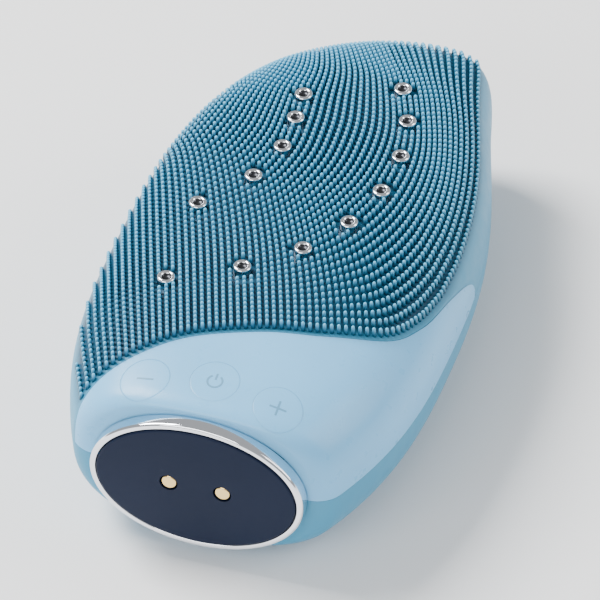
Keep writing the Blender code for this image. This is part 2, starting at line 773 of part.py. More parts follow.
def button_mesh(x, y):
    """A disc that follows the panel's surface, about its own centre."""
    sides = 20
    shares = (0.5, 1.0)
    origin = front_height(x, y)
    bm = bmesh.new()

    def layer(depth):
        def at(dx, dy):
            return bm.verts.new((dx, dy, front_height(x + dx, y + dy) - depth - origin))
        rings = [[at(BUTTON_RADIUS * share * math.cos(2 * math.pi * step / sides),
                     BUTTON_RADIUS * share * math.sin(2 * math.pi * step / sides))
                  for step in range(sides)] for share in shares]
        return at(0.0, 0.0), rings

    layers = [layer(0.0), layer(BUTTON_THICKNESS)]
    for middle, rings in layers:
        for step in range(sides):
            turn = (step + 1) % sides
            bm.faces.new((middle, rings[0][step], rings[0][turn]))
            bm.faces.new((rings[0][step], rings[0][turn], rings[1][turn], rings[1][step]))
    for step in range(sides):
        turn = (step + 1) % sides
        top, bottom = layers[0][1][1], layers[1][1][1]
        bm.faces.new((top[step], top[turn], bottom[turn], bottom[step]))
    return finish_mesh(bm, "button")


def build_buttons():
    for name, (x, y) in BUTTON_PLACES.items():
        top = front_height(x, y)
        button = add_object(name + "_button", button_mesh(x, y), "panel_silicone", (x, y, top))
        shade(button)
        start = lowest_around(x, y, PLUNGER_RADIUS, 0.0) - BUTTON_THICKNESS - GAP - top
        ceiling = flange_top(x, y) - top
        end = SWITCH_TOP + BUTTON_TRAVEL + 0.1 * MM - top
        flange = ceiling - PLUNGER_FLANGE_THICKNESS
        profile = [(0.0, start), (PLUNGER_RADIUS - 0.2 * MM, start),
                   (PLUNGER_RADIUS, start - 0.2 * MM), (PLUNGER_RADIUS, ceiling),
                   (PLUNGER_FLANGE, ceiling), (PLUNGER_FLANGE, flange),
                   (PLUNGER_RADIUS * 0.6, flange), (PLUNGER_RADIUS * 0.6, end), (0.0, end)]
        plunger = turned(name + "_plunger", profile, "grey_plastic", (0.0, 0.0, 0.0), 12,
                         parent=button)
        shade(plunger)
        switch_centre = (x, y, CONTROL_BOARD_TOP + GAP + SWITCH_SIZE[2] / 2)
        switch = add_object(name + "_switch", box_mesh(SWITCH_SIZE, switch_centre, 0.3 * MM),
                            "chip_black")
        shade(switch)


# ============================ contact pins and boards ============================

def electrode_board_range():
    stations_of = [y for x, y in PINS]
    return (min(stations_of) - ELECTRODE_BOARD_MARGIN, max(stations_of) + ELECTRODE_BOARD_MARGIN)


def build_pins():
    board_top = ELECTRODE_BOARD_Z + BOARD_THICKNESS
    for number, (x, y) in enumerate(PINS, 1):
        skin_top = front_height(x, y)
        head = PIN_PROUD
        seat = max(front_height(x + dx, y + dy, HOUSING_OUT)
                   for dx in (-PIN_RADIUS, 0.0, PIN_RADIUS)
                   for dy in (-PIN_RADIUS, 0.0, PIN_RADIUS)) + GAP - skin_top
        tail_top = board_top + GAP - skin_top
        tail_end = ELECTRODE_BOARD_Z - 0.5 * MM - skin_top
        dome = [(PIN_RADIUS * math.sin(math.radians(turn)),
                 head - 0.55 * PIN_RADIUS * (1.0 - math.cos(math.radians(turn))))
                for turn in (0, 45, 90)]
        profile = dome + [(PIN_RADIUS, seat), (PIN_NECK, seat), (PIN_NECK, tail_top),
                          (PIN_TAIL, tail_top), (PIN_TAIL, tail_end), (0.0, tail_end)]
        pin = turned("electrode_pin_%02d" % number, profile, "chrome", (x, y, skin_top), 8)
        shade(pin, 50.0)


def boss_notches():
    return add_cutter("boss_notches", cylinder_mesh(SCREW_PLACES, BOSS_RADIUS + GAP, 0.0,
                                                    FRONT_DEPTH, 12))


def build_electrode_board():
    low, high = electrode_board_range()
    steps = 12
    left, right = [], []
    for step in range(steps + 1):
        station = low + (high - low) * step / steps
        half = cavity_half(station, ELECTRODE_BOARD_Z + BOARD_THICKNESS) - ELECTRODE_BOARD_CLEAR
        left.append((lean(station, HOUSING_IN) - half, station))
        right.append((lean(station, HOUSING_IN) + half, station))
    board = add_object("electrode_board",
                       flat_mesh(right + left[::-1], ELECTRODE_BOARD_Z,
                                 ELECTRODE_BOARD_Z + BOARD_THICKNESS), "board_green")
    holes = add_cutter("tail_holes", cylinder_mesh(PINS, PIN_TAIL + GAP, 0.0, FRONT_DEPTH, 6))
    boolean(board, holes, "DIFFERENCE")
    boolean(board, boss_notches(), "DIFFERENCE")
    stand = ELECTRODE_BOARD_Z - CONTROL_BOARD_TOP - 2 * GAP
    link_y = (low + CONTROL_BOARD_TO) / 2
    add_object("board_connector",
               box_mesh((10 * MM, 3.2 * MM, stand),
                        (-2 * MM, link_y, CONTROL_BOARD_TOP + GAP + stand / 2), 0.2 * MM),
               "chip_black")


def rounded_rectangle(half_x, low, high, corner):
    points = []
    for cx, cy, start in ((half_x - corner, high - corner, 0.0),
                          (-half_x + corner, high - corner, 90.0),
                          (-half_x + corner, low + corner, 180.0),
                          (half_x - corner, low + corner, 270.0)):
        for turn in (0.0, 30.0, 60.0, 90.0):
            angle = math.radians(start + turn)
            points.append((cx + corner * math.cos(angle), cy + corner * math.sin(angle)))
    return points


def build_control_board():
    outline = rounded_rectangle(CONTROL_BOARD_HALF, CONTROL_BOARD_FROM, CONTROL_BOARD_TO, 3 * MM)
    board = add_object("control_board", flat_mesh(outline, CONTROL_BOARD_Z, CONTROL_BOARD_TOP),
                       "board_green")
    boolean(board, boss_notches(), "DIFFERENCE")
    on_top = CONTROL_BOARD_TOP + GAP
    pieces = (("control_chip", (7.0, 7.0, 1.0), (-7.5, 20.0), "chip_black"),
              ("radio_module", (9.0, 9.5, 1.6), (7.5, 20.0), "steel"),
              ("status_led", (1.8, 1.0, 0.8), (0.0, 15.2), "led_white"))
    for name, size, (x, y), finish in pieces:
        size = [value * MM for value in size]
        centre = (x * MM, y * MM, on_top + size[2] / 2)
        piece = add_object(name, box_mesh(size, centre, 0.15 * MM), finish)
        shade(piece)


# ============================ battery and motor ============================

def build_battery():
    wide, long, high = BATTERY_SIZE
    middle = (0.0, BATTERY_FROM + long / 2, BATTERY_TOP - high / 2)
    cell = add_object("battery_cell", box_mesh(BATTERY_SIZE, middle, 1.2 * MM), "battery_wrap")
    shade(cell)
    pad_top = BATTERY_TOP - high - GAP
    add_object("battery_pad",
               box_mesh((wide - 6 * MM, long - 6 * MM, PAD_THICKNESS),
                        (0.0, BATTERY_FROM + long / 2, pad_top - PAD_THICKNESS / 2), 0.2 * MM),
               "chip_black")
    plug_y = CONTROL_BOARD_TO - PLUG_SIZE[1] / 2 - 1 * MM
    plug_z = CONTROL_BOARD_Z - GAP - PLUG_SIZE[2] / 2
    plug = add_object("battery_plug", box_mesh(PLUG_SIZE, (0.0, plug_y, plug_z), 0.3 * MM),
                      "led_white")
    shade(plug)
    face = plug_y + PLUG_SIZE[1] / 2 + GAP
    cell_end = BATTERY_END + GAP
    for name, side, finish in (("battery_lead_red", 1.0, "wire_red"),
                               ("battery_lead_black", -1.0, "wire_black")):
        x = side * 1.6 * MM
        wire(name, ((x, cell_end, BATTERY_TOP - 2.4 * MM),
                    (x, cell_end + 2.0 * MM, BATTERY_TOP - 1.6 * MM),
                    (x * 1.2, cell_end + 1.9 * MM, BATTERY_TOP + 2.2 * MM),
                    (x * 1.4, cell_end - 4.0 * MM, plug_z - 1.4 * MM),
                    (x * 1.2, face + 8.0 * MM, plug_z - 0.4 * MM),
                    (x, face, plug_z)), finish)


def build_motor():
    bore = SHAFT_RADIUS + GAP
    half = MOTOR_LENGTH / 2
    can = [(bore, half), (MOTOR_RADIUS - 0.5 * MM, half), (MOTOR_RADIUS, half - 0.5 * MM),
           (MOTOR_RADIUS, -half + 0.5 * MM), (MOTOR_RADIUS - 0.5 * MM, -half), (0.0, -half),
           (0.0, 0.0), (bore, 0.0), (bore, half)]
    middle = MOTOR_FROM + half
    motor = turned("motor_can", can, "steel", (0.0, middle, MOTOR_Z), 24, along="Y")
    shade(motor)

    start = GAP
    end = half + SHAFT_OUT
    shaft_profile = [(0.0, end), (SHAFT_RADIUS - 0.2 * MM, end), (SHAFT_RADIUS, end - 0.2 * MM),
                     (SHAFT_RADIUS, start), (0.0, start)]
    shaft = turned("motor_shaft", shaft_profile, "steel", (0.0, middle, MOTOR_Z), 14, along="Y")
    shade(shaft)

    low = middle + half + 1.2 * MM
    outline = [(WEIGHT_RADIUS * math.cos(math.radians(turn)),
                WEIGHT_RADIUS * math.sin(math.radians(turn))) for turn in range(180, 361, 15)]
    hub = bore + 1.0 * MM
    outline += [(hub * math.cos(math.radians(turn)), hub * math.sin(math.radians(turn)))
                for turn in range(0, 181, 30)]
    mesh = flat_mesh(outline, low - middle, low - middle + WEIGHT_LENGTH, "Y")
    weight = add_object("eccentric_weight", mesh, "steel", (0.0, middle, MOTOR_Z))
    bore_cut = add_cutter("weight_bore",
                          cylinder_mesh([(0.0, MOTOR_Z)], bore, middle, low + 3 * WEIGHT_LENGTH,
                                        14, "Y"))
    boolean(weight, bore_cut, "DIFFERENCE")
    shade(weight)


def build_clamp():
    """A strap over the motor with an ear on each side."""
    inside = MOTOR_RADIUS + GAP
    outside = inside + CLAMP_THICKNESS
    half = CLAMP_THICKNESS / 2
    reach = outside + CLAMP_EAR
    arch_out = [(outside * math.cos(math.radians(turn)), outside * math.sin(math.radians(turn)))
                for turn in range(10, 171, 10)]
    arch_in = [(inside * math.cos(math.radians(turn)), inside * math.sin(math.radians(turn)))
               for turn in range(170, 9, -10)]
    outline = ([(reach, -half), (reach, half), (outside, half)] + arch_out
               + [(-outside, half), (-reach, half), (-reach, -half), (-inside, -half)] + arch_in
               + [(inside, -half)])
    station = MOTOR_FROM + MOTOR_LENGTH / 2
    mesh = flat_mesh(outline, station - CLAMP_WIDTH / 2, station + CLAMP_WIDTH / 2, "Y")
    mesh.transform(Matrix.Translation((0.0, 0.0, MOTOR_Z)))
    clamp = add_object("motor_clamp", mesh, "steel")
    holes = add_cutter("ear_holes", cylinder_mesh(clamp_spots(), SCREW_SHANK + GAP,
                                                  MOTOR_Z - 3 * MM, MOTOR_Z + 3 * MM, 12))
    boolean(clamp, holes, "DIFFERENCE")
    shade(clamp)
    seat = MOTOR_Z + half + GAP
    for side, place in zip(("left", "right"), clamp_spots()):
        screw = turned("motor_clamp_screw_" + side, small_screw(SMALL_SCREW_LENGTH - 1 * MM),
                       "steel", (*place, seat), 10)
        shade(screw)


def small_screw(length):
    """Profile of a pan-head screw that points down, its shoulder at height 0."""
    head = SCREW_HEAD_HEIGHT
    return [(0.0, head), (SCREW_HEAD - 0.4 * MM, head), (SCREW_HEAD, head - 0.4 * MM),
            (SCREW_HEAD, 0.0), (SCREW_SHANK, 0.0), (SCREW_SHANK, -length + 0.5 * MM),
            (SCREW_SHANK * 0.5, -length), (0.0, -length)]


def build_motor_leads():
    end = MOTOR_FROM - GAP
    board = CONTROL_BOARD_Z - GAP
    for name, side, finish in (("motor_lead_red", 1.0, "wire_red"),
                               ("motor_lead_black", -1.0, "wire_black")):
        x = side * 3.4 * MM
        wire(name, ((x, end, MOTOR_Z + 1.5 * MM), (x * 1.2, end - 2.0 * MM, MOTOR_Z + 2.2 * MM),
                    (x * 1.8, end - 6.0 * MM, MOTOR_Z + 6.0 * MM),
                    (x * 2.2, BATTERY_END - 8.0 * MM, BATTERY_TOP + 3.8 * MM),
                    (x * 2.4, CONTROL_BOARD_TO + 3.0 * MM, BATTERY_TOP + 4.2 * MM),
                    (x * 2.5, CONTROL_BOARD_TO - 3.0 * MM, BATTERY_TOP + 5.4 * MM),
                    (x * 2.5, CONTROL_BOARD_TO - 5.0 * MM, board)), finish)


# ============================ foot ============================

def build_foot():
    half_x, half_z = FOOT_HALF_WIDTH, FOOT_HALF_DEPTH
    near = FOOT_PAD_PROUD
    far = FOOT_HEIGHT - GAP
    wall = FOOT_RING_WALL
    ring = add_object("foot_ring",
                      oval_loft([(near, half_x - FOOT_EDGE, half_z - FOOT_EDGE),
                                 (near + 0.3 * FOOT_EDGE, half_x - 0.3 * FOOT_EDGE,
                                  half_z - 0.3 * FOOT_EDGE),
                                 (near + FOOT_EDGE, half_x, half_z), (far, half_x, half_z)],
                                [(near, half_x - wall, half_z - wall),
                                 (far, half_x - wall, half_z - wall)]), "chrome")
    inner_x = half_x - wall - GAP
    inner_z = half_z - wall - GAP
    edge = 0.3 * MM
    pad = add_object("foot_pad",
                     oval_loft([(0.0, inner_x - edge, inner_z - edge), (edge, inner_x, inner_z),
                                (FOOT_PAD_THICKNESS, inner_x, inner_z)]), "dark_rubber")
    opening_x = half_width(FOOT_HEIGHT, SKIN) - BASE_CORNER_SIDE - GAP
    lower_crest = min(front_crest(FOOT_HEIGHT, SKIN), back_crest(FOOT_HEIGHT, SKIN))
    opening_z = lower_crest - BASE_CORNER_FACE - GAP
    step = FOOT_HEIGHT - GAP
    plate = add_object("foot_plate",
                       oval_loft([(FOOT_PLATE_FROM, inner_x, inner_z), (step, inner_x, inner_z),
                                  (step, opening_x, opening_z),
                                  (FOOT_PLATE_TO, opening_x, opening_z)]), "grey_plastic")
    contacts = [(-CONTACT_X, 0.0), (CONTACT_X, 0.0)]
    contact_holes = add_cutter("contact_holes",
                               cylinder_mesh(contacts, CONTACT_RADIUS + GAP, -2 * MM,
                                             FOOT_PLATE_TO + 2 * MM, 16, "Y"))
    boolean(pad, contact_holes, "DIFFERENCE")
    boolean(plate, contact_holes, "DIFFERENCE")
    screw_holes = add_cutter("foot_screw_holes",
                             cylinder_mesh(foot_screw_spots(), SCREW_SHANK + GAP, -2 * MM,
                                           FOOT_PLATE_TO + 2 * MM, 12, "Y"))
    boolean(plate, screw_holes, "DIFFERENCE")
    seat = FOOT_PLATE_FROM + SCREW_HEAD_HEIGHT / 2
    sinks = add_cutter("foot_screw_sinks",
                       cylinder_mesh(foot_screw_spots(), SCREW_HEAD + GAP, -2 * MM,
                                     seat + GAP, 14, "Y"))
    boolean(plate, sinks, "DIFFERENCE")
    for side, (x, z) in zip(("left", "right"), foot_screw_spots()):
        flat = SCREW_HEAD_HEIGHT / 2
        profile = [(0.0, SMALL_SCREW_LENGTH), (SCREW_SHANK * 0.5, SMALL_SCREW_LENGTH),
                   (SCREW_SHANK, SMALL_SCREW_LENGTH - 0.5 * MM), (SCREW_SHANK, 0.0),
                   (SCREW_HEAD, 0.0), (SCREW_HEAD, -flat + GAP), (0.0, -flat + GAP)]
        screw = turned("foot_screw_" + side, profile, "steel", (x, seat, z), 12, along="Y")
        shade(screw)
    length = FOOT_PLATE_TO + 1.5 * MM
    for side, (x, z) in zip(("left", "right"), contacts):
        profile = [(0.0, length), (CONTACT_RADIUS * 0.5, length),
                   (CONTACT_RADIUS * 0.5, length - 1.2 * MM),
                   (CONTACT_RADIUS, length - 1.2 * MM), (CONTACT_RADIUS, CONTACT_RECESS + 0.2 * MM),
                   (CONTACT_RADIUS - 0.2 * MM, CONTACT_RECESS), (0.0, CONTACT_RECESS)]
        contact = turned("charge_contact_" + side, profile, "gold", (x, 0.0, z), 14, along="Y")
        shade(contact)
    for obj in (ring, pad, plate):
        shade(obj)


# ============================ the whole brush ============================

build_silicone()
build_housing()
build_housing_screws()
build_seal()
build_buttons()
build_pins()
build_electrode_board()
build_control_board()
build_battery()
build_motor()
build_clamp()
build_motor_leads()
build_foot()
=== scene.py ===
"""Looks of the silicone facial cleansing brush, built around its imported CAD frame.

The brush lies on its back.  Places on it are given as in the CAD design: x across,
station along it from the foot's end face to the tip, height over the parting plane.
"""

import math

import bmesh
import bpy
import numpy as np
from mathutils import Matrix, Vector


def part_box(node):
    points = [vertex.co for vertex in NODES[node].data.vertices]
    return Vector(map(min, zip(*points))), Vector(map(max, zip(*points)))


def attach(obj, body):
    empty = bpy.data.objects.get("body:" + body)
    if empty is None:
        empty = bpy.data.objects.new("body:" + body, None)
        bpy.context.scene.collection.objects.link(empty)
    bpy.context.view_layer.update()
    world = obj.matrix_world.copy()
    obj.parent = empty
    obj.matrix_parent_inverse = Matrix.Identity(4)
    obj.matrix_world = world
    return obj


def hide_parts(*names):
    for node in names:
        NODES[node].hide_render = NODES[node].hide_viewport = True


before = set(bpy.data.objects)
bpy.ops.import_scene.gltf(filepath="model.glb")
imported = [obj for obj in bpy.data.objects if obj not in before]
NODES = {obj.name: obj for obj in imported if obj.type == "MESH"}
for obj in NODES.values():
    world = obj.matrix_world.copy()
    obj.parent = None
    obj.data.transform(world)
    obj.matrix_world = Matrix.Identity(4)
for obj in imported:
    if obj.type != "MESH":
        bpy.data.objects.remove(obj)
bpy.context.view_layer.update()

MM = 0.001

# ---- the body, as in the CAD design ----
LENGTH = 118.0 * MM
HALF_WIDTH = 32.7 * MM
FRONT_DEPTH = 18.8 * MM
BACK_DEPTH = 18.0 * MM
FOOT_HEIGHT = 3.2 * MM
WIDEST_AT = 48.0 * MM
BASE_HALF_WIDTH = 23.5 * MM
BASE_DEPTH_DROP = 3.0 * MM
FLAT_FROM = 42.0 * MM
BACK_FLAT_LENGTH = 30.0 * MM
BACK_FLAT_LEVEL = 0.996          # the back is flat where its section rises past this
TIP_LEAN = 16.0 * MM
WAIST_LEAN = 2.0 * MM
LEAN_POWER = 7.0
SIDE_POWER = 2.6
TIP_POWER = 1.8
SECTION_POWER = 2.7
CREST_POWER = 2.2
CREST_ROOT = 4.5
BASE_TAPER_POWER = 2.6
BASE_CORNER_SIDE = 3.0 * MM
BASE_CORNER_FACE = 1.2 * MM
SKIN = 2.0 * MM
PANEL_EDGE = ((-30.0, -2.0), (-22.0, 7.7), (-15.0, 13.9), (-7.0, 19.3), (4.5, 23.9),
              (15.5, 27.1), (25.3, 32.7), (29.3, 41.0), (31.0, 52.0), (32.0, 62.0),
              (32.2, 67.0), (32.0, 72.0))

# ---- fine surfaces ----
AROUND = 90                      # strips around a half
ALONG = 84                       # stations along it
STATION_POWER = 1.15             # above 1, stations draw in towards the base
CORNER_STEPS = 8                 # of the base's rounded corner
CREASE = 35.0                    # degrees past which an edge is shaded sharp
FOOT_CREASE = 40.0
TURNED_CREASE = 50.0
DRILL_REACH = 6.0 * MM           # of a round hole's cutter to either side of its centre
SEAM = 0.05 * MM                 # half the moulding line at the parting plane
PANEL_SEAM = 0.06 * MM           # half the line between the panel and the bristle face

# ---- bristles ----
BRISTLE_HEIGHT = 2.0 * MM
EDGE_HEIGHT = 1.0 * MM           # of the bristles along the sides and the tip
BRISTLE_RADIUS = 0.40 * MM
BRISTLE_SIDES = 6
BRISTLE_PITCH = 1.28 * MM        # along a row
# rings of a bristle: (share of its height, share of its radius, how far its colour has risen out of
# the painted shade at the root)
BRISTLE_RINGS = ((-0.12, 1.10, 0.0), (0.50, 0.96, 0.35), (0.87, 0.84, 0.85), (0.97, 0.52, 1.0))
# guiding rows, in mm from the tip's end to the left side; the fourth is the field's edge
LEFT_ROW = ((-21.0, 98.0), (-26.0, 91.0), (-29.2, 82.0), (-30.6, 74.0), (-34.0, 66.0))
INNER_ROW = ((-12.0, 108.0), (-8.6, 97.0), (-7.9, 87.4), (-7.1, 80.2), (-6.8, 71.4),
             (-9.2, 62.0), (-16.7, 52.7), (-25.0, 47.0), (-34.0, 43.0))
OUTER_ROW = ((-3.0, 116.0), (3.2, 105.0), (8.5, 95.3), (13.7, 79.0), (12.7, 60.4),
             (3.6, 43.3), (-15.8, 31.8), (-25.0, 28.0), (-34.0, 25.0))
ROWS_BETWEEN = (17, 15, 13)      # steps from each guiding row to the next
GUIDE_POINTS = 240
GUIDE_SPACING = 1.0 * MM         # of the points that a guiding row is first laid out with
EDGE_ROW_IN = 0.3 * MM           # how far inside the field its edge row runs
EDGE_ROW_STEP = 3.0 * MM
EDGE_ROW_SIDE_END = 58.0 * MM    # it follows the right side down to this station
EDGE_ROW_PANEL_FROM = 52.0 * MM  # and the panel's edge below this one
LINE_UP_FROM = (-12.0, 17.0)     # in mm; from here on, along the next direction,
LINE_UP_ALONG = (-0.33, 0.94)    # the bristles of all rows line up
CLEAR_OF_PIN = 2.35 * MM
CLEAR_OF_PANEL = 0.75 * MM
CLEAR_OF_LEFT = 1.3 * MM
CLEAR_OF_RIGHT = 2.3 * MM
CLEAR_OF_TIP = 2.0 * MM
CLEAR_OF_BASE = 6.0 * MM
EDGE_POWER = 6                   # how late the bristles shorten towards the field's edge
PAINTED_SHADE_FADE = 1.5 * MM            # over which the painted shade on the ground under the bristles fades in

# ---- back ridges ----
RIDGE_DEPTH = 0.75 * MM
RIDGE_PITCH = 6.6 * MM
RIDGE_MIDDLE = (0.0 * MM, 60.0 * MM)
RIDGE_REACH = (23.0 * MM, 34.0 * MM)
RIDGE_BOW = 7.0 * MM             # how far a ridge's ends bend towards the foot
RIDGE_FADE = 0.18                # share of the reach over which the ridges die away
RIDGE_POWER = 1.4                # above 1, the grooves are narrower than the ridges

# ---- contact pins: radii, unless they say otherwise ----
PIN_HOLE = 1.78 * MM
PIN_RADIUS = 1.7 * MM
PIN_SHOULDER = 0.45 * MM
PIN_HEAD = 3.4 * MM              # length of the wide part
PIN_NECK = 0.9 * MM
PIN_TAIL = 1.8 * MM              # length of the thin part through the board
PIN_TAIL_RADIUS = 0.45 * MM
# (radius, height) of the dish from its middle to the rim, in mm, under the pin's top
PIN_DISH = ((0.0, -0.62), (0.40, -0.60), (0.70, -0.48), (0.90, -0.24), (1.04, -0.06))
PIN_DARK_REFLECTION = 0.9 * MM              # of the dish's bottom, near-black steel as a painted dark reflection
PIN_DARK_REFLECTION_DOWN = 1.0 * MM         # depth under the top that still counts as the dish's painted dark reflection

# ---- buttons and icons ----
BUTTON_NAMES = ("minus", "power", "plus")
BUTTON_HOLE = 4.5 * MM           # radius
BUTTON_GAP = 0.035 * MM
BUTTON_THICK = 1.2 * MM
# rings of a button: (share of its radius, how far the edge is rounded down in mm)
BUTTON_RINGS = ((0.25, 0.0), (0.5, 0.0), (0.75, 0.0), (0.95, 0.0), (0.99, 0.004), (1.0, 0.03))
BUTTON_SIDES = 64
ICON_WIDTH = 0.34 * MM
ICON_REACH = 1.55 * MM           # from the middle to a stroke's end
ICON_LOW = -0.05 * MM
ICON_HIGH = 0.035 * MM
ICON_CROSSING = 0.004 * MM       # how much higher the plus's second stroke is
POWER_RADIUS = 1.35 * MM
POWER_STROKE = (0.35 * MM, 1.75 * MM)

# ---- foot ----
RING_WALL = 1.2 * MM
RING_OUTER_EDGE = 0.55 * MM      # radii of its rounded edges
RING_INNER_EDGE = 0.25 * MM
PAD_GROWTH = 0.15 * MM           # past the CAD pad, to close the line along the ring
PAD_EDGE = 0.35 * MM
CONTACT_NAMES = ("charge_contact_left", "charge_contact_right")
CONTACT_HOLE = 1.7 * MM          # radius
CONTACT_EDGE = 0.4 * MM
CONTACT_TAIL = 1.2 * MM          # length of the thin end through the pad

# ---- studio ----
FLOOR_REACH = 6.0                # metres
FLOOR_DROP = 0.05 * MM
LIGHTS_AIM = (0.0, 0.0, 0.02)
CAMERA_PLACE = Vector((504.6, -1561.5, 1489.4)) * MM
CAMERA_TARGET = Vector((2.0, -4.5, 17.0)) * MM
CAMERA_LENS = 730.0              # mm
CAMERA_SENSOR = 36.0             # mm, its width

FOOT_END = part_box("foot_pad")[0].y
PARTING = (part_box("rear_skin")[1].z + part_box("front_skin")[0].z) / 2


def place(x, station, height):
    """A spot of the brush as a point of the row frame."""
    return Vector((x, FOOT_END + station, PARTING + height))


def middle_of(node):
    low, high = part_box(node)
    return (low + high) / 2


PIN_NODES = sorted(name for name in NODES if name.startswith("electrode_pin_"))
PIN_SPOTS = [(middle_of(node).x, middle_of(node).y - FOOT_END) for node in PIN_NODES]


# ============================ materials ============================

def set_inputs(node, **inputs):
    """Fixed values of a node's inputs; an underscore stands for a space in a name."""
    for name, value in inputs.items():
        node.inputs[name.replace("_", " ")].default_value = value


def new_material(name, colour, roughness, metallic=0.0):
    material = bpy.data.materials.new(name)
    material.use_nodes = True
    shader = material.node_tree.nodes["Principled BSDF"]
    set_inputs(shader, Base_Color=(*colour, 1.0), Roughness=roughness, Metallic=metallic)
    return material, material.node_tree, shader


def add_node(tree, kind, **inputs):
    node = tree.nodes.new(kind)
    set_inputs(node, **inputs)
    return node


def noise(tree, scale, detail=3.0, roughness=0.5):
    """Noise in the piece's own space, mostly between 0.3 and 0.7."""
    where = tree.nodes.new("ShaderNodeTexCoord")
    node = add_node(tree, "ShaderNodeTexNoise", Scale=scale, Detail=detail, Roughness=roughness)
    tree.links.new(where.outputs["Object"], node.inputs["Vector"])
    return node.outputs["Fac"]


def vary_roughness(tree, shader, value, low, high):
    """The roughness, taken from one end to the other by a noise."""
    node = add_node(tree, "ShaderNodeMapRange", From_Min=0.3, From_Max=0.7, To_Min=low, To_Max=high)
    tree.links.new(value, node.inputs["Value"])
    tree.links.new(node.outputs["Result"], shader.inputs["Roughness"])


def attribute(tree, name):
    """A value that a mesh stores for each vertex."""
    node = tree.nodes.new("ShaderNodeAttribute")
    node.attribute_name = name
    return node.outputs["Fac"]


def ramp(tree, value, stops):
    node = tree.nodes.new("ShaderNodeValToRGB")
    elements = node.color_ramp.elements
    while len(elements) < len(stops):
        elements.new(0.5)
    for element, (position, colour) in zip(elements, stops):
        element.position = position
        element.color = (*colour, 1.0)
    tree.links.new(value, node.inputs["Fac"])
    return node.outputs["Color"]


def bump(tree, shader, value, strength, distance):
    node = add_node(tree, "ShaderNodeBump", Strength=strength, Distance=distance)
    tree.links.new(value, node.inputs["Height"])
    tree.links.new(node.outputs["Normal"], shader.inputs["Normal"])


def vary_colour(tree, shader, colour, amount, scale):
    """The base colour, lighter and darker by a share in soft patches."""
    dark = tuple(channel * (1.0 - amount) for channel in colour)
    light = tuple(min(1.0, channel * (1.0 + amount)) for channel in colour)
    stops = ((0.35, dark), (0.65, light))
    tree.links.new(ramp(tree, noise(tree, scale), stops), shader.inputs["Base Color"])


def soft_surface(tree, shader, low, high, grain, glow, tint, depth):
    """Satin between two roughnesses, a very fine grain, and light that sinks in a little."""
    vary_roughness(tree, shader, noise(tree, 420.0, 4.0), low, high)
    bump(tree, shader, noise(tree, 2600.0, 2.0), grain, 0.04 * MM)
    set_inputs(shader, Subsurface_Weight=glow, Subsurface_Radius=tint, Subsurface_Scale=depth,
               IOR=1.41)


def silicone(name, colour, roughness, glow=0.12):
    """Moulded silicone: satin, slightly translucent, with a very fine skin."""
    material, tree, shader = new_material(name, colour, roughness)
    vary_colour(tree, shader, colour, 0.035, 55.0)
    soft_surface(tree, shader, roughness - 0.04, roughness + 0.05, 0.12, glow,
                 (0.6, 0.9, 1.0), 1.2 * MM)
    return material


def bristle_ground_painted_shade(name, open_colour, shade_colour):
    """The bristles' silicone where it is the ground they stand on, with painted shade that darkens
    it among them.
    """
    material, tree, shader = new_material(name, open_colour, 0.42)
    stops = ((0.0, open_colour), (1.0, shade_colour))
    tree.links.new(ramp(tree, attribute(tree, "under"), stops), shader.inputs["Base Color"])
    soft_surface(tree, shader, 0.38, 0.47, 0.12, 0.12, (0.6, 0.9, 1.0), 1.2 * MM)
    return material


def bristle_silicone(name, root, tip):
    """The bristles' silicone, with painted shade: darker and deeper at the root than at the tip."""
    material, tree, shader = new_material(name, tip, 0.34)
    middle = tuple((a + b) / 2 for a, b in zip(root, tip))
    stops = ((0.0, root), (0.55, middle), (1.0, tip))
    tree.links.new(ramp(tree, attribute(tree, "unshaded_share"), stops), shader.inputs["Base Color"])
    soft_surface(tree, shader, 0.30, 0.40, 0.10, 0.12, (0.5, 0.9, 1.0), 0.8 * MM)
    return material


def plastic(name, colour, roughness, shine=0.5):
    """Moulded hard plastic or coated foam, with a fine grain."""
    material, tree, shader = new_material(name, colour, roughness)
    set_inputs(shader, Specular_IOR_Level=shine)
    vary_colour(tree, shader, colour, 0.04, 90.0)
    vary_roughness(tree, shader, noise(tree, 900.0, 3.0), roughness - 0.05, roughness + 0.06)
    bump(tree, shader, noise(tree, 3200.0, 2.0), 0.15, 0.03 * MM)
    return material


def polished(name, colour, roughness):
    """Plated metal: mirror bright, with the faint haze of handling."""
    material, tree, shader = new_material(name, colour, roughness, 1.0)
    vary_colour(tree, shader, colour, 0.015, 60.0)
    vary_roughness(tree, shader, noise(tree, 700.0, 4.0), roughness * 0.6, roughness * 1.6)
    return material


def machined(name, colour):
    """Turned or pressed steel with fine marks."""
    material, tree, shader = new_material(name, colour, 0.30, 1.0)
    vary_colour(tree, shader, colour, 0.06, 300.0)
    marks = noise(tree, 1800.0, 5.0, 0.65)
    vary_roughness(tree, shader, marks, 0.22, 0.42)
    bump(tree, shader, marks, 0.2, 0.03 * MM)
    return material


def circuit_board(name, colour):
    """Solder mask with darker and lighter tracks under it."""
    material, tree, shader = new_material(name, colour, 0.35)
    where = tree.nodes.new("ShaderNodeTexCoord")
    tracks = add_node(tree, "ShaderNodeTexBrick", Scale=420.0, Mortar_Size=0.12,
                      Color1=(*colour, 1.0),
                      Color2=(*(channel * 0.8 for channel in colour), 1.0),
                      Mortar=(*(channel * 1.5 for channel in colour), 1.0))
    tree.links.new(where.outputs["Object"], tracks.inputs["Vector"])
    tree.links.new(tracks.outputs["Color"], shader.inputs["Base Color"])
    return material


BODY_BLUE = (0.050, 0.290, 0.470)
# painted shade: near-black navy for the bristles' roots and the ground among them
BRISTLE_ROOT_SHADE = (0.004, 0.055, 0.105)
BRISTLE_TIP = (0.130, 0.500, 0.760)
PANEL_BLUE = (0.190, 0.530, 0.860)

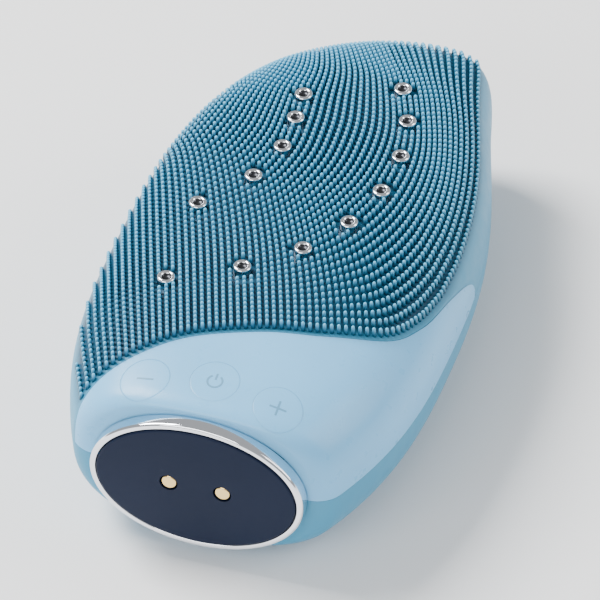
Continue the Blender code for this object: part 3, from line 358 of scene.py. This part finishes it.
MATERIALS = {
    "skin": bristle_ground_painted_shade("bristle_face_silicone", BODY_BLUE, BRISTLE_ROOT_SHADE),
    "back": silicone("back_silicone", BODY_BLUE, 0.42),
    "bristle": bristle_silicone("bristle_silicone", BRISTLE_ROOT_SHADE, BRISTLE_TIP),
    "panel": silicone("panel_silicone", PANEL_BLUE, 0.30),
    "icon": silicone("icon_ink", (0.120, 0.310, 0.480), 0.40, 0.0),
    "chrome": polished("foot_chrome", (0.86, 0.88, 0.92), 0.05),
    "pin": polished("pin_chrome", (0.83, 0.84, 0.86), 0.10),
    # painted reflection: near-black steel that stands in for the dark reflection in the pins'
    # dishes
    "pin_dark_reflection": machined("pin_dish_painted_reflection", (0.050, 0.052, 0.058)),
    "navy": plastic("foot_pad_navy", (0.004, 0.010, 0.032), 0.40, 0.15),
    "gold": polished("contact_gold", (0.92, 0.66, 0.28), 0.14),
    "housing": plastic("housing_plastic", (0.70, 0.73, 0.76), 0.45),
    "grey": plastic("grey_plastic", (0.16, 0.18, 0.21), 0.45),
    "black": plastic("black_plastic", (0.018, 0.018, 0.020), 0.38),
    "white": plastic("white_plastic", (0.78, 0.78, 0.72), 0.35),
    "seal": silicone("seal_rubber", (0.62, 0.18, 0.06), 0.55, 0.0),
    "foam": plastic("foam", (0.015, 0.015, 0.016), 0.85),
    "steel": machined("steel", (0.60, 0.61, 0.62)),
    "board": circuit_board("board_green", (0.012, 0.105, 0.045)),
    "wrap": polished("battery_wrap", (0.62, 0.64, 0.66), 0.35),
    "red_wire": plastic("red_wire", (0.42, 0.015, 0.012), 0.45),
    "black_wire": plastic("black_wire", (0.012, 0.012, 0.013), 0.45),
}

CAD_FINISHES = {
    "housing": ("front_housing", "rear_housing"),
    "seal": ("housing_seal",),
    "board": ("electrode_board", "control_board"),
    "black": ("board_connector", "control_chip", "minus_switch", "power_switch", "plus_switch"),
    "steel": ("radio_module", "motor_can", "motor_shaft", "eccentric_weight", "motor_clamp",
              "motor_clamp_screw_left", "motor_clamp_screw_right", "housing_screw_1",
              "housing_screw_2", "housing_screw_3", "housing_screw_4", "foot_screw_left",
              "foot_screw_right"),
    "white": ("status_led", "battery_plug"),
    "wrap": ("battery_cell",),
    "foam": ("battery_pad",),
    "red_wire": ("battery_lead_red", "motor_lead_red"),
    "black_wire": ("battery_lead_black", "motor_lead_black"),
    "grey": ("foot_plate", "minus_plunger", "power_plunger", "plus_plunger"),
}


def dress_cad_nodes():
    """Finishes for the CAD nodes that are shown as they are."""
    for finish, names in CAD_FINISHES.items():
        for name in names:
            mesh = NODES[name].data
            mesh.materials.clear()
            mesh.materials.append(MATERIALS[finish])


# ============================ pieces and meshes ============================

def add_piece(name, mesh, finish, body="brush", replaces=()):
    """Link a finished mesh as a piece that rides on a body."""
    piece = bpy.data.objects.new(name, mesh)
    bpy.context.scene.collection.objects.link(piece)
    mesh.materials.clear()
    mesh.materials.append(MATERIALS[finish])
    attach(piece, body)
    if replaces:
        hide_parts(*replaces)
    return piece


def smooth(mesh, angle=CREASE):
    mesh.shade_smooth()
    mesh.set_sharp_from_angle(angle=math.radians(angle))


def finish_mesh(bm, name, angle=CREASE):
    """Turn a bmesh into a mesh with its faces outwards and its soft edges shaded smooth."""
    bmesh.ops.recalc_face_normals(bm, faces=bm.faces)
    mesh = bpy.data.meshes.new(name)
    bm.to_mesh(mesh)
    bm.free()
    smooth(mesh, angle)
    return mesh


def store_values(mesh, name, values):
    """One value a vertex, for the materials to read."""
    stored = mesh.attributes.new(name, "FLOAT", "POINT")
    stored.data.foreach_set("value", np.array(values, np.float32))


def boolean(mesh, cutter, operation, name):
    """A new mesh: the first cut by, or cut down to, the second."""
    scene = bpy.context.scene.collection
    piece = bpy.data.objects.new("cut", mesh)
    tool = bpy.data.objects.new("tool", cutter)
    scene.objects.link(piece)
    scene.objects.link(tool)
    modifier = piece.modifiers.new("cut", "BOOLEAN")
    modifier.operation = operation
    modifier.solver = "EXACT"
    modifier.object = tool
    graph = bpy.context.evaluated_depsgraph_get()
    result = bpy.data.meshes.new_from_object(piece.evaluated_get(graph))
    result.name = name
    bpy.data.objects.remove(piece)
    bpy.data.objects.remove(tool)
    return result


def circle(radius, sides):
    """Points around a circle about the origin."""
    turns = [2 * math.pi * step / sides for step in range(sides)]
    return [(radius * math.cos(turn), radius * math.sin(turn)) for turn in turns]


def turned_mesh(name, profile, sides, centre, along="Z"):
    """A turned solid: profile is (radius, height) pairs between two points on the axis."""
    bm = bmesh.new()
    rings = []
    for radius, height in profile:
        if radius == 0.0:
            rings.append([bm.verts.new((0.0, 0.0, height))])
        else:
            rings.append([bm.verts.new((x, y, height)) for x, y in circle(radius, sides)])
    for one, two in zip(rings, rings[1:]):
        for step in range(sides):
            turn = (step + 1) % sides
            corners = [one[step % len(one)], one[turn % len(one)],
                       two[turn % len(two)], two[step % len(two)]]
            bm.faces.new(list(dict.fromkeys(corners)))
    if along == "Y":
        bmesh.ops.rotate(bm, verts=bm.verts, matrix=Matrix.Rotation(-math.pi / 2, 3, "X"))
    bmesh.ops.translate(bm, verts=bm.verts, vec=centre)
    return finish_mesh(bm, name, TURNED_CREASE)


def drill(mesh, centre, radius, sides, name, along="Z"):
    """The mesh with a round hole through its wall around a centre."""
    profile = ((0.0, DRILL_REACH), (radius, DRILL_REACH),
               (radius, -DRILL_REACH), (0.0, -DRILL_REACH))
    return boolean(mesh, turned_mesh("drill", profile, sides, centre, along), "DIFFERENCE", name)


def prism_mesh(outline, low, high):
    """Upright prism over a flat outline, in the row frame."""
    bm = bmesh.new()
    bottom = [bm.verts.new(place(x, station, low)) for x, station in outline]
    top = [bm.verts.new(place(x, station, high)) for x, station in outline]
    bm.faces.new(bottom)
    bm.faces.new(top)
    for step in range(len(outline)):
        turn = (step + 1) % len(outline)
        bm.faces.new((bottom[step], bottom[turn], top[turn], top[step]))
    return finish_mesh(bm, "prism")


def arc(centre_x, centre_y, radius, start, end, steps):
    """Points along an arc, angles in degrees."""
    points = []
    for step in range(steps + 1):
        angle = math.radians(start + (end - start) * step / steps)
        points.append((centre_x + radius * math.cos(angle), centre_y + radius * math.sin(angle)))
    return points


# ============================ the body's surface ============================

def power_arc(share, power, root):
    """Falls from 1 to 0 as the share goes from 0 to 1."""
    return max(0.0, 1.0 - share ** power) ** (1.0 / root)


def tip_share(station, start, inset):
    """How far a station is from a start towards the tip, from 0 to 1."""
    return min(1.0, max(0.0, (station - start) / (LENGTH - inset - start)))


def base_share(station, start):
    """How far a station is from a start towards the base."""
    return max(0.0, (start - station) / (start - FOOT_HEIGHT))


def half_width(station, inset=0.0):
    share = tip_share(station, WIDEST_AT, inset)
    taper = (HALF_WIDTH - BASE_HALF_WIDTH) * base_share(station, WIDEST_AT) ** BASE_TAPER_POWER
    return (HALF_WIDTH - inset) * power_arc(share, SIDE_POWER, TIP_POWER) - taper


def lean(station, inset=0.0):
    """Where the middle of a section lies across the brush."""
    share = tip_share(station, WIDEST_AT, inset)
    return TIP_LEAN * share ** LEAN_POWER - WAIST_LEAN * share ** 2


def crest(station, depth, flat_length, inset=0.0):
    """Height of a section's middle over the parting plane."""
    share = tip_share(station, FLAT_FROM + flat_length, inset)
    drop = BASE_DEPTH_DROP * base_share(station, FLAT_FROM) ** BASE_TAPER_POWER
    return (depth - inset) * power_arc(share, CREST_POWER, CREST_ROOT) - drop


def front_height(x, station):
    """Height of the front skin, away from the base."""
    side = min(1.0, abs(x - lean(station)) / max(half_width(station), 0.1 * MM))
    return crest(station, FRONT_DEPTH, 0.0) * power_arc(side, SECTION_POWER, SECTION_POWER)


def panel_height(x, station):
    """Height of the front skin, with the rounding of its corner at the base."""
    share = min(1.0, max(0.0, (station - FOOT_HEIGHT) / BASE_CORNER_SIDE))
    rounding = 1.0 - math.sqrt(1.0 - (1.0 - share) ** 2)
    wide = half_width(station) - BASE_CORNER_SIDE * rounding
    high = crest(station, FRONT_DEPTH, 0.0) - BASE_CORNER_FACE * rounding - SEAM
    side = min(1.0, abs(x - lean(station)) / wide)
    return SEAM + high * power_arc(side, SECTION_POWER, SECTION_POWER)


def section_arc(level):
    """Unit half section from +X to -X, cut flat where it rises past the level."""
    points = []
    for step in range(AROUND + 1):
        angle = math.pi * step / AROUND
        across = math.copysign(abs(math.cos(angle)) ** (2.0 / SECTION_POWER), math.cos(angle))
        up = max(0.0, math.sin(angle)) ** (2.0 / SECTION_POWER)
        points.append((across, min(1.0, up / level)))
    return points


def stations(inset):
    """(station, side inset, face inset) of each section, rounding the base corner."""
    rows = []
    for step in range(CORNER_STEPS):
        turn = math.pi / 2 * step / CORNER_STEPS
        rows.append((FOOT_HEIGHT + BASE_CORNER_SIDE * (1.0 - math.cos(turn)),
                     BASE_CORNER_SIDE * (1.0 - math.sin(turn)),
                     BASE_CORNER_FACE * (1.0 - math.sin(turn))))
    first = FOOT_HEIGHT + BASE_CORNER_SIDE
    for step in range(ALONG):
        share = math.sin(math.pi / 2 * step / ALONG) ** STATION_POWER
        rows.append((first + (LENGTH - inset - first) * share, 0.0, 0.0))
    return rows


def ridge_carve(x, station):
    """How deep the back's ridged field is carved at a spot of the plan."""
    from_middle = math.hypot((x - RIDGE_MIDDLE[0]) / RIDGE_REACH[0],
                             (station - RIDGE_MIDDLE[1]) / RIDGE_REACH[1])
    if from_middle >= 1.0:
        return 0.0
    fade = min(1.0, (1.0 - from_middle) / RIDGE_FADE)
    fade = fade * fade * (3.0 - 2.0 * fade)
    along = station + RIDGE_BOW * (x / RIDGE_REACH[0]) ** 2 - RIDGE_MIDDLE[1]
    wave = 0.5 - 0.5 * math.cos(2 * math.pi * along / RIDGE_PITCH)
    return RIDGE_DEPTH * fade * wave ** RIDGE_POWER


def half_surface(face, inset, carve):
    """Rows of points of one face of the body at an inset, and its tip point."""
    front = face == "front"
    sign = 1.0 if front else -1.0
    section = section_arc(1.0 if front else BACK_FLAT_LEVEL)
    rows = []
    for station, side_inset, face_inset in stations(inset):
        wide = half_width(station, inset) - side_inset
        if front:
            high = crest(station, FRONT_DEPTH, 0.0, inset)
        else:
            high = crest(station, BACK_DEPTH, BACK_FLAT_LENGTH, inset)
        high -= face_inset + SEAM
        middle = lean(station, inset)
        row = []
        for across, up in section:
            x = middle + wide * across
            height = SEAM + high * up
            if carve:
                height = max(SEAM, height - ridge_carve(x, station))
            row.append(place(x, station, sign * height))
        rows.append(row)
    return rows, place(lean(LENGTH - inset, inset), LENGTH - inset, sign * SEAM)


def half_shell(face, carve=False):
    """Closed silicone wall of one half of the body."""
    bm = bmesh.new()
    layers = []
    for inset, carved in ((0.0, carve), (SKIN, False)):
        rows, tip = half_surface(face, inset, carved)
        grid = [[bm.verts.new(point) for point in row] for row in rows]
        point = bm.verts.new(tip)
        for row, after in zip(grid, grid[1:]):
            for step in range(AROUND):
                bm.faces.new((row[step], row[step + 1], after[step + 1], after[step]))
        for step in range(AROUND):
            bm.faces.new((grid[-1][step], grid[-1][step + 1], point))
        layers.append((grid, point))
    (outside, outer_tip), (inside, inner_tip) = layers
    for step in range(AROUND):
        bm.faces.new((outside[0][step], outside[0][step + 1],
                      inside[0][step + 1], inside[0][step]))
    for edge in (0, AROUND):
        for lower in range(len(outside) - 1):
            bm.faces.new((outside[lower][edge], outside[lower + 1][edge],
                          inside[lower + 1][edge], inside[lower][edge]))
        bm.faces.new((outside[-1][edge], outer_tip, inner_tip, inside[-1][edge]))
    return finish_mesh(bm, face + "_shell")


def between(one, two, three, four, t):
    """A share of the way from the second to the third of four, along a Catmull-Rom curve."""
    return 0.5 * (2 * two + (three - one) * t
                  + (2 * one - 5 * two + 4 * three - four) * t * t
                  + (3 * two - one - 3 * three + four) * t ** 3)


def smooth_route(spots, spacing):
    """Points along a smooth curve through (x, station) spots in mm."""
    line = [Vector((x, station, 0.0)) * MM for x, station in spots]
    ends = [line[0] * 2 - line[1]] + line + [line[-1] * 2 - line[-2]]
    route = []
    for one, two, three, four in zip(ends, ends[1:], ends[2:], ends[3:]):
        steps = max(1, round((three - two).length / spacing))
        route += [between(one, two, three, four, step / steps) for step in range(steps)]
    return route + [line[-1]]


PANEL_LINE = smooth_route(PANEL_EDGE, 1.2 * MM)


def panel_outline(grow):
    """Plan of the control panel: everything on the base's side of its edge."""
    shifted = []
    for number, point in enumerate(PANEL_LINE):
        before = PANEL_LINE[max(0, number - 1)]
        after = PANEL_LINE[min(len(PANEL_LINE) - 1, number + 1)]
        along = (after - before).normalized()
        shifted.append((point.x - along.y * grow, point.y + along.x * grow))
    far = HALF_WIDTH + 8 * MM
    return shifted + [(far, shifted[-1][1]), (far, -far), (-far, -far), (-far, shifted[0][1])]


# ============================ silicone skins ============================

def build_skins():
    """The bristle face, the control panel beside it and the ridged back."""
    tall = FRONT_DEPTH + 10 * MM
    deep = 2 * SKIN
    skin = boolean(half_shell("front"), prism_mesh(panel_outline(PANEL_SEAM), -deep, tall),
                   "DIFFERENCE", "front_skin_fine")
    for node in PIN_NODES:
        middle = middle_of(node)
        top = Vector((middle.x, middle.y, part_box(node)[1].z))
        skin = drill(skin, top, PIN_HOLE, 24, "front_skin_fine")
    smooth(skin)
    # painted shade: the ground darkens inside the bristled field, fading in across its edge
    store_values(skin, "under", [
        min(1.0, max(0.0, 0.5 + field_depth(vert.co.x, vert.co.y - FOOT_END) / PAINTED_SHADE_FADE))
        for vert in skin.vertices])
    add_piece("bristle_face", skin, "skin", replaces=("front_skin",))

    panel = boolean(half_shell("front"), prism_mesh(panel_outline(-PANEL_SEAM), -deep, tall),
                    "INTERSECT", "control_panel_fine")
    for name in BUTTON_NAMES:
        panel = drill(panel, middle_of(name + "_button"), BUTTON_HOLE, BUTTON_SIDES,
                      "control_panel_fine")
    smooth(panel)
    add_piece("smooth_panel", panel, "panel", replaces=("control_panel",))

    back = half_shell("back", carve=True)
    add_piece("back_skin", back, "back", replaces=("rear_skin",))


# ============================ bristles ============================

def panel_side(x, station):
    """Distance past the panel's edge, negative on the panel."""
    best = None
    for one, two in zip(PANEL_LINE, PANEL_LINE[1:]):
        along = Vector((two.x - one.x, two.y - one.y))
        offset = Vector((x - one.x, station - one.y))
        share = min(1.0, max(0.0, offset.dot(along) / along.length_squared))
        apart = offset - along * share
        side = along.x * offset.y - along.y * offset.x
        distance = math.copysign(apart.length, side)
        if best is None or abs(distance) < abs(best):
            best = distance
    return best


def field_depth(x, station):
    """How far inside the bristled field a spot lies; negative outside."""
    across = x - lean(station)
    clear = CLEAR_OF_RIGHT if across > 0.0 else CLEAR_OF_LEFT
    return min(station - CLEAR_OF_BASE, LENGTH - CLEAR_OF_TIP - station,
               half_width(station) - clear - abs(across), panel_side(x, station) - CLEAR_OF_PANEL)


def clear_of_pins(x, station):
    return all(math.hypot(x - px, station - py) > CLEAR_OF_PIN for px, py in PIN_SPOTS)


def evenly(line):
    """Points at equal distances along a line, as a row of GUIDE_POINTS pairs."""
    reached = [0.0]
    for one, two in zip(line, line[1:]):
        reached.append(reached[-1] + (two - one).length)
    wanted = np.linspace(0.0, reached[-1], GUIDE_POINTS)
    return np.column_stack([np.interp(wanted, reached, [point[axis] for point in line])
                            for axis in (0, 1)])


def edge_row():
    """The last row, along the right side and then along the panel's edge."""
    spots = []
    for station in np.arange(LENGTH - CLEAR_OF_TIP, EDGE_ROW_SIDE_END, -EDGE_ROW_STEP):
        spots.append((lean(station) + half_width(station) - CLEAR_OF_RIGHT - EDGE_ROW_IN, station))
    away = CLEAR_OF_PANEL + EDGE_ROW_IN
    for one, two in zip(PANEL_LINE[::-1], PANEL_LINE[-2::-1]):
        if one.y < EDGE_ROW_PANEL_FROM:
            along = (two - one).normalized()
            spots.append((one.x + along.y * away, one.y - along.x * away))
    return evenly([Vector((x, station, 0.0)) for x, station in spots])


def row_lines():
    """Every row of bristles as a line of points, from the left one to the edge one."""
    guides = [evenly(smooth_route(spots, GUIDE_SPACING))
              for spots in (LEFT_ROW, INNER_ROW, OUTER_ROW)] + [edge_row()]
    ends = [2 * guides[0] - guides[1]] + guides + [2 * guides[-1] - guides[-2]]
    lines = []
    for number, steps in enumerate(ROWS_BETWEEN):
        lines += [between(*ends[number:number + 4], step / steps) for step in range(steps)]
    return lines + [guides[-1]]


def bristle_sites():
    """(x, station, height) of every bristle, at equal distances along the rows."""
    along_x, along_y = LINE_UP_ALONG
    from_x, from_y = (value * MM for value in LINE_UP_FROM)
    sites = []
    for line in row_lines():
        steps = np.hypot(*np.diff(line, axis=0).T)
        reached = np.concatenate(([0.0], np.cumsum(steps)))
        aside = (line[:, 0] - from_x) * along_y - (line[:, 1] - from_y) * along_x
        start = float(np.interp(0.0, aside[::-1], reached[::-1]))
        first = start - BRISTLE_PITCH * math.floor(start / BRISTLE_PITCH)
        for at in np.arange(first, reached[-1], BRISTLE_PITCH):
            x = float(np.interp(at, reached, line[:, 0]))
            station = float(np.interp(at, reached, line[:, 1]))
            if not 0.0 < station < LENGTH or abs(x - lean(station)) > half_width(station):
                continue
            if field_depth(x, station) < 0.0 or not clear_of_pins(x, station):
                continue
            side = abs(x - lean(station)) / half_width(station)
            rim = max(side, tip_share(station, FLAT_FROM, 0.0)) ** EDGE_POWER
            sites.append((x, station, BRISTLE_HEIGHT + (EDGE_HEIGHT - BRISTLE_HEIGHT) * rim))
    return sites


def build_bristles():
    """Every bristle as its own closed tapered post with a round tip."""
    points, faces, rises = [], [], []
    for x, station, height in bristle_sites():
        root = front_height(x, station)
        first = len(points)
        # each ring carries its share out of the painted root shade for the colour ramp
        for level, width, unshaded_share in BRISTLE_RINGS:
            for across, along in circle(BRISTLE_RADIUS * width, BRISTLE_SIDES):
                points.append(place(x + across, station + along, root + height * level))
                rises.append(unshaded_share)
        points.append(place(x, station, root + height))
        rises.append(1.0)
        top = first + (len(BRISTLE_RINGS) - 1) * BRISTLE_SIDES
        for side in range(BRISTLE_SIDES):
            turn = (side + 1) % BRISTLE_SIDES
            for low in range(first, top, BRISTLE_SIDES):
                faces.append((low + side, low + turn, low + BRISTLE_SIDES + turn,
                              low + BRISTLE_SIDES + side))
            faces.append((top + side, top + turn, len(points) - 1))
        faces.append(tuple(range(first + BRISTLE_SIDES - 1, first - 1, -1)))
    mesh = bpy.data.meshes.new("bristles")
    mesh.from_pydata(points, [], faces)
    mesh.shade_smooth()
    # painted shade: 0 at the dark root, up to 1 at the tip
    store_values(mesh, "unshaded_share", rises)
    add_piece("bristles", mesh, "bristle")


# ============================ contact pins ============================

def build_pins():
    """Plated pins with a rounded rim around a dished top, whose bottom is near-black steel as a
    painted dark reflection.
    """
    dish = [(radius * MM, height * MM) for radius, height in PIN_DISH]
    rim = arc(PIN_RADIUS - PIN_SHOULDER, -PIN_SHOULDER, PIN_SHOULDER, 90, 0, 8)
    for node in PIN_NODES:
        low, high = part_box(node)
        centre = Vector(((low.x + high.x) / 2, (low.y + high.y) / 2, high.z))
        bottom = low.z - high.z
        stem = [(PIN_RADIUS, -PIN_HEAD), (PIN_NECK, -PIN_HEAD), (PIN_NECK, bottom + PIN_TAIL),
                (PIN_TAIL_RADIUS, bottom + PIN_TAIL), (PIN_TAIL_RADIUS, bottom), (0.0, bottom)]
        mesh = turned_mesh(node, dish + rim + stem, 40, centre)
        add_piece(node + "_plated", mesh, "pin", replaces=(node,))
        # painted reflection: the faces of the dish's bottom take the near-black steel
        mesh.materials.append(MATERIALS["pin_dark_reflection"])
        for face in mesh.polygons:
            middle = face.center
            out = math.hypot(middle.x - centre.x, middle.y - centre.y)
            if out < PIN_DARK_REFLECTION and middle.z > centre.z - PIN_DARK_REFLECTION_DOWN:
                face.material_index = 1


# ============================ buttons and their icons ============================

def button_mesh(name, x, station, radius):
    """A disc that follows the panel's surface, its upper edge rounded down."""
    bm = bmesh.new()

    def vertex(across, along, offset):
        px, py = x + across, station + along
        return bm.verts.new(place(px, py, panel_height(px, py) + offset))

    edges = []
    for depth, rounding in ((0.0, MM), (BUTTON_THICK, 0.0)):
        middle = vertex(0.0, 0.0, -depth)
        loops = [[vertex(across, along, -depth - drop * rounding)
                  for across, along in circle(radius * share, BUTTON_SIDES)]
                 for share, drop in BUTTON_RINGS]
        for step in range(BUTTON_SIDES):
            turn = (step + 1) % BUTTON_SIDES
            bm.faces.new((middle, loops[0][step], loops[0][turn]))
            for inner, outer in zip(loops, loops[1:]):
                bm.faces.new((inner[step], inner[turn], outer[turn], outer[step]))
        edges.append(loops[-1])
    top, bottom = edges
    for step in range(BUTTON_SIDES):
        turn = (step + 1) % BUTTON_SIDES
        bm.faces.new((top[step], top[turn], bottom[turn], bottom[step]))
    return finish_mesh(bm, name)


def stroke(bm, path, high=ICON_HIGH):
    """A flat band on the panel's surface along a path of (x, station) spots."""
    loops = []
    for number, (x, station) in enumerate(path):
        before = path[max(0, number - 1)]
        after = path[min(len(path) - 1, number + 1)]
        along = Vector((after[0] - before[0], after[1] - before[1])).normalized()
        side = Vector((-along.y, along.x)) * ICON_WIDTH / 2
        ring = []
        for sign, offset in ((1, ICON_LOW), (-1, ICON_LOW), (-1, high), (1, high)):
            px = x + side.x * sign
            py = station + side.y * sign
            ring.append(bm.verts.new(place(px, py, panel_height(px, py) + offset)))
        loops.append(ring)
    for one, two in zip(loops, loops[1:]):
        for step in range(4):
            turn = (step + 1) % 4
            bm.faces.new((one[step], one[turn], two[turn], two[step]))
    bm.faces.new(loops[0])
    bm.faces.new(loops[-1])


def line_path(start, end, steps):
    """Spots at equal distances from one spot to another."""
    return [(start[0] + (end[0] - start[0]) * step / steps,
             start[1] + (end[1] - start[1]) * step / steps) for step in range(steps + 1)]


def build_buttons():
    """Three round buttons flush with the panel, each with its icon."""
    for name in BUTTON_NAMES:
        middle = middle_of(name + "_button")
        x, station = middle.x, middle.y - FOOT_END
        mesh = button_mesh(name + "_button_fine", x, station, BUTTON_HOLE - BUTTON_GAP)
        add_piece(name + "_key_top", mesh, "panel", name + "_key",
                  replaces=(name + "_button",))
        bm = bmesh.new()
        if name == "power":
            stroke(bm, arc(x, station, POWER_RADIUS, 125, 415, 36))
            start, end = POWER_STROKE
            stroke(bm, line_path((x, station + start), (x, station + end), 6))
        else:
            stroke(bm, line_path((x - ICON_REACH, station), (x + ICON_REACH, station), 12))
        if name == "plus":
            stroke(bm, line_path((x, station - ICON_REACH), (x, station + ICON_REACH), 12),
                   ICON_HIGH + ICON_CROSSING)
        add_piece(name + "_icon", finish_mesh(bm, name + "_icon"), "icon", name + "_key")


# ============================ foot ============================

def oval_loft(name, sections, hollow=False, sides=128):
    """Loft of ovals along the brush, each (station, half_x, half_z): capped flat at both ends,
    or hollow, with its last oval joined to its first."""
    bm = bmesh.new()
    rings = [[bm.verts.new(place(half_x * across, station, half_z * up))
              for across, up in circle(1.0, sides)] for station, half_x, half_z in sections]
    pairs = list(zip(rings, rings[1:]))
    if hollow:
        pairs.append((rings[-1], rings[0]))
    else:
        bm.faces.new(rings[0])
        bm.faces.new(rings[-1])
    for one, two in pairs:
        for step in range(sides):
            turn = (step + 1) % sides
            bm.faces.new((one[step], one[turn], two[turn], two[step]))
    return finish_mesh(bm, name, FOOT_CREASE)


def build_foot():
    """The chrome ring, the pad inside it and the two gold contacts in the pad."""
    low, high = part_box("foot_ring")
    half_x = (high.x - low.x) / 2
    half_z = (high.z - low.z) / 2
    near, far = low.y - FOOT_END, high.y - FOOT_END
    edge = RING_OUTER_EDGE
    outer = [(station, half_x + grow, half_z + grow)
             for grow, station in arc(-edge, near + edge, edge, -90, 0, 8)]
    edge = RING_INNER_EDGE
    inner = [(station, half_x - RING_WALL + grow, half_z - RING_WALL + grow)
             for grow, station in arc(edge, near + edge, edge, 180, 270, 5)]
    sections = ([(far, half_x - RING_WALL, half_z - RING_WALL)] + inner + outer
                + [(far, half_x, half_z)])
    add_piece("foot_chrome_ring", oval_loft("foot_chrome_ring", sections, hollow=True), "chrome",
              replaces=("foot_ring",))

    low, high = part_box("foot_pad")
    half_x = (high.x - low.x) / 2 + PAD_GROWTH
    half_z = (high.z - low.z) / 2 + PAD_GROWTH
    thick = high.y - low.y
    rim = [(station, half_x + grow, half_z + grow)
           for grow, station in arc(-PAD_EDGE, PAD_EDGE, PAD_EDGE, -90, 0, 6)]
    pad = oval_loft("foot_pad_fine", rim + [(thick, half_x, half_z)])
    for name in CONTACT_NAMES:
        centre = middle_of(name)
        pad = drill(pad, Vector((centre.x, FOOT_END, centre.z)), CONTACT_HOLE, 48,
                    "foot_pad_fine", "Y")
    smooth(pad, FOOT_CREASE)
    add_piece("foot_end_pad", pad, "navy", replaces=("foot_pad",))

    for name in CONTACT_NAMES:
        low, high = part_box(name)
        centre = Vector(((low.x + high.x) / 2, low.y, (low.z + high.z) / 2))
        length = high.y - low.y
        radius = (high.x - low.x) / 2
        dome = arc(radius - CONTACT_EDGE, CONTACT_EDGE, CONTACT_EDGE, -90, 0, 6)
        neck = length - CONTACT_TAIL
        profile = [(0.0, 0.0)] + dome + [(radius, neck), (radius / 2, neck),
                                         (radius / 2, length), (0.0, length)]
        add_piece(name + "_gold", turned_mesh(name, profile, 48, centre, "Y"), "gold",
                  replaces=(name,))


# ============================ studio ============================

def look_at(thing, target):
    thing.rotation_euler = (Vector(target) - thing.location).to_track_quat("-Z", "Y").to_euler()


def soft_light(name, location, size, power):
    """A white rectangular light that faces the brush."""
    data = bpy.data.lights.new(name, "AREA")
    data.shape = "RECTANGLE"
    data.size, data.size_y = size
    data.energy = power
    light = bpy.data.objects.new(name, data)
    light.location = location
    bpy.context.scene.collection.objects.link(light)
    look_at(light, LIGHTS_AIM)


def build_studio():
    """White paper, three soft lights, a pale sky and the camera of the photo."""
    mesh = bpy.data.meshes.new("floor")
    reach = FLOOR_REACH
    mesh.from_pydata([(-reach, -reach, 0.0), (reach, -reach, 0.0), (reach, reach, 0.0),
                      (-reach, reach, 0.0)], [], [(0, 1, 2, 3)])
    floor = bpy.data.objects.new("floor", mesh)
    floor.location.z = -FLOOR_DROP
    bpy.context.scene.collection.objects.link(floor)
    mesh.materials.append(new_material("floor_paper", (0.92, 0.92, 0.92), 0.75)[0])

    world = bpy.data.worlds.new("studio")
    world.use_nodes = True
    set_inputs(world.node_tree.nodes["Background"], Color=(0.93, 0.95, 0.97, 1.0), Strength=0.50)
    bpy.context.scene.world = world

    soft_light("key", (-0.75, 0.15, 0.95), (0.55, 0.55), 30.0)
    soft_light("front", (-0.25, -1.1, 0.75), (0.9, 0.5), 8.0)
    soft_light("fill", (0.95, 0.25, 0.6), (0.5, 0.8), 6.0)

    data = bpy.data.cameras.new("camera")
    data.lens = CAMERA_LENS
    data.sensor_width = CAMERA_SENSOR
    data.clip_end = 20.0
    camera = bpy.data.objects.new("camera", data)
    camera.location = CAMERA_PLACE
    bpy.context.scene.collection.objects.link(camera)
    look_at(camera, CAMERA_TARGET)
    bpy.context.scene.camera = camera


# ============================ the whole brush ============================

dress_cad_nodes()
build_skins()
build_bristles()
build_pins()
build_buttons()
build_foot()
build_studio()

bpy.context.view_layer.update()
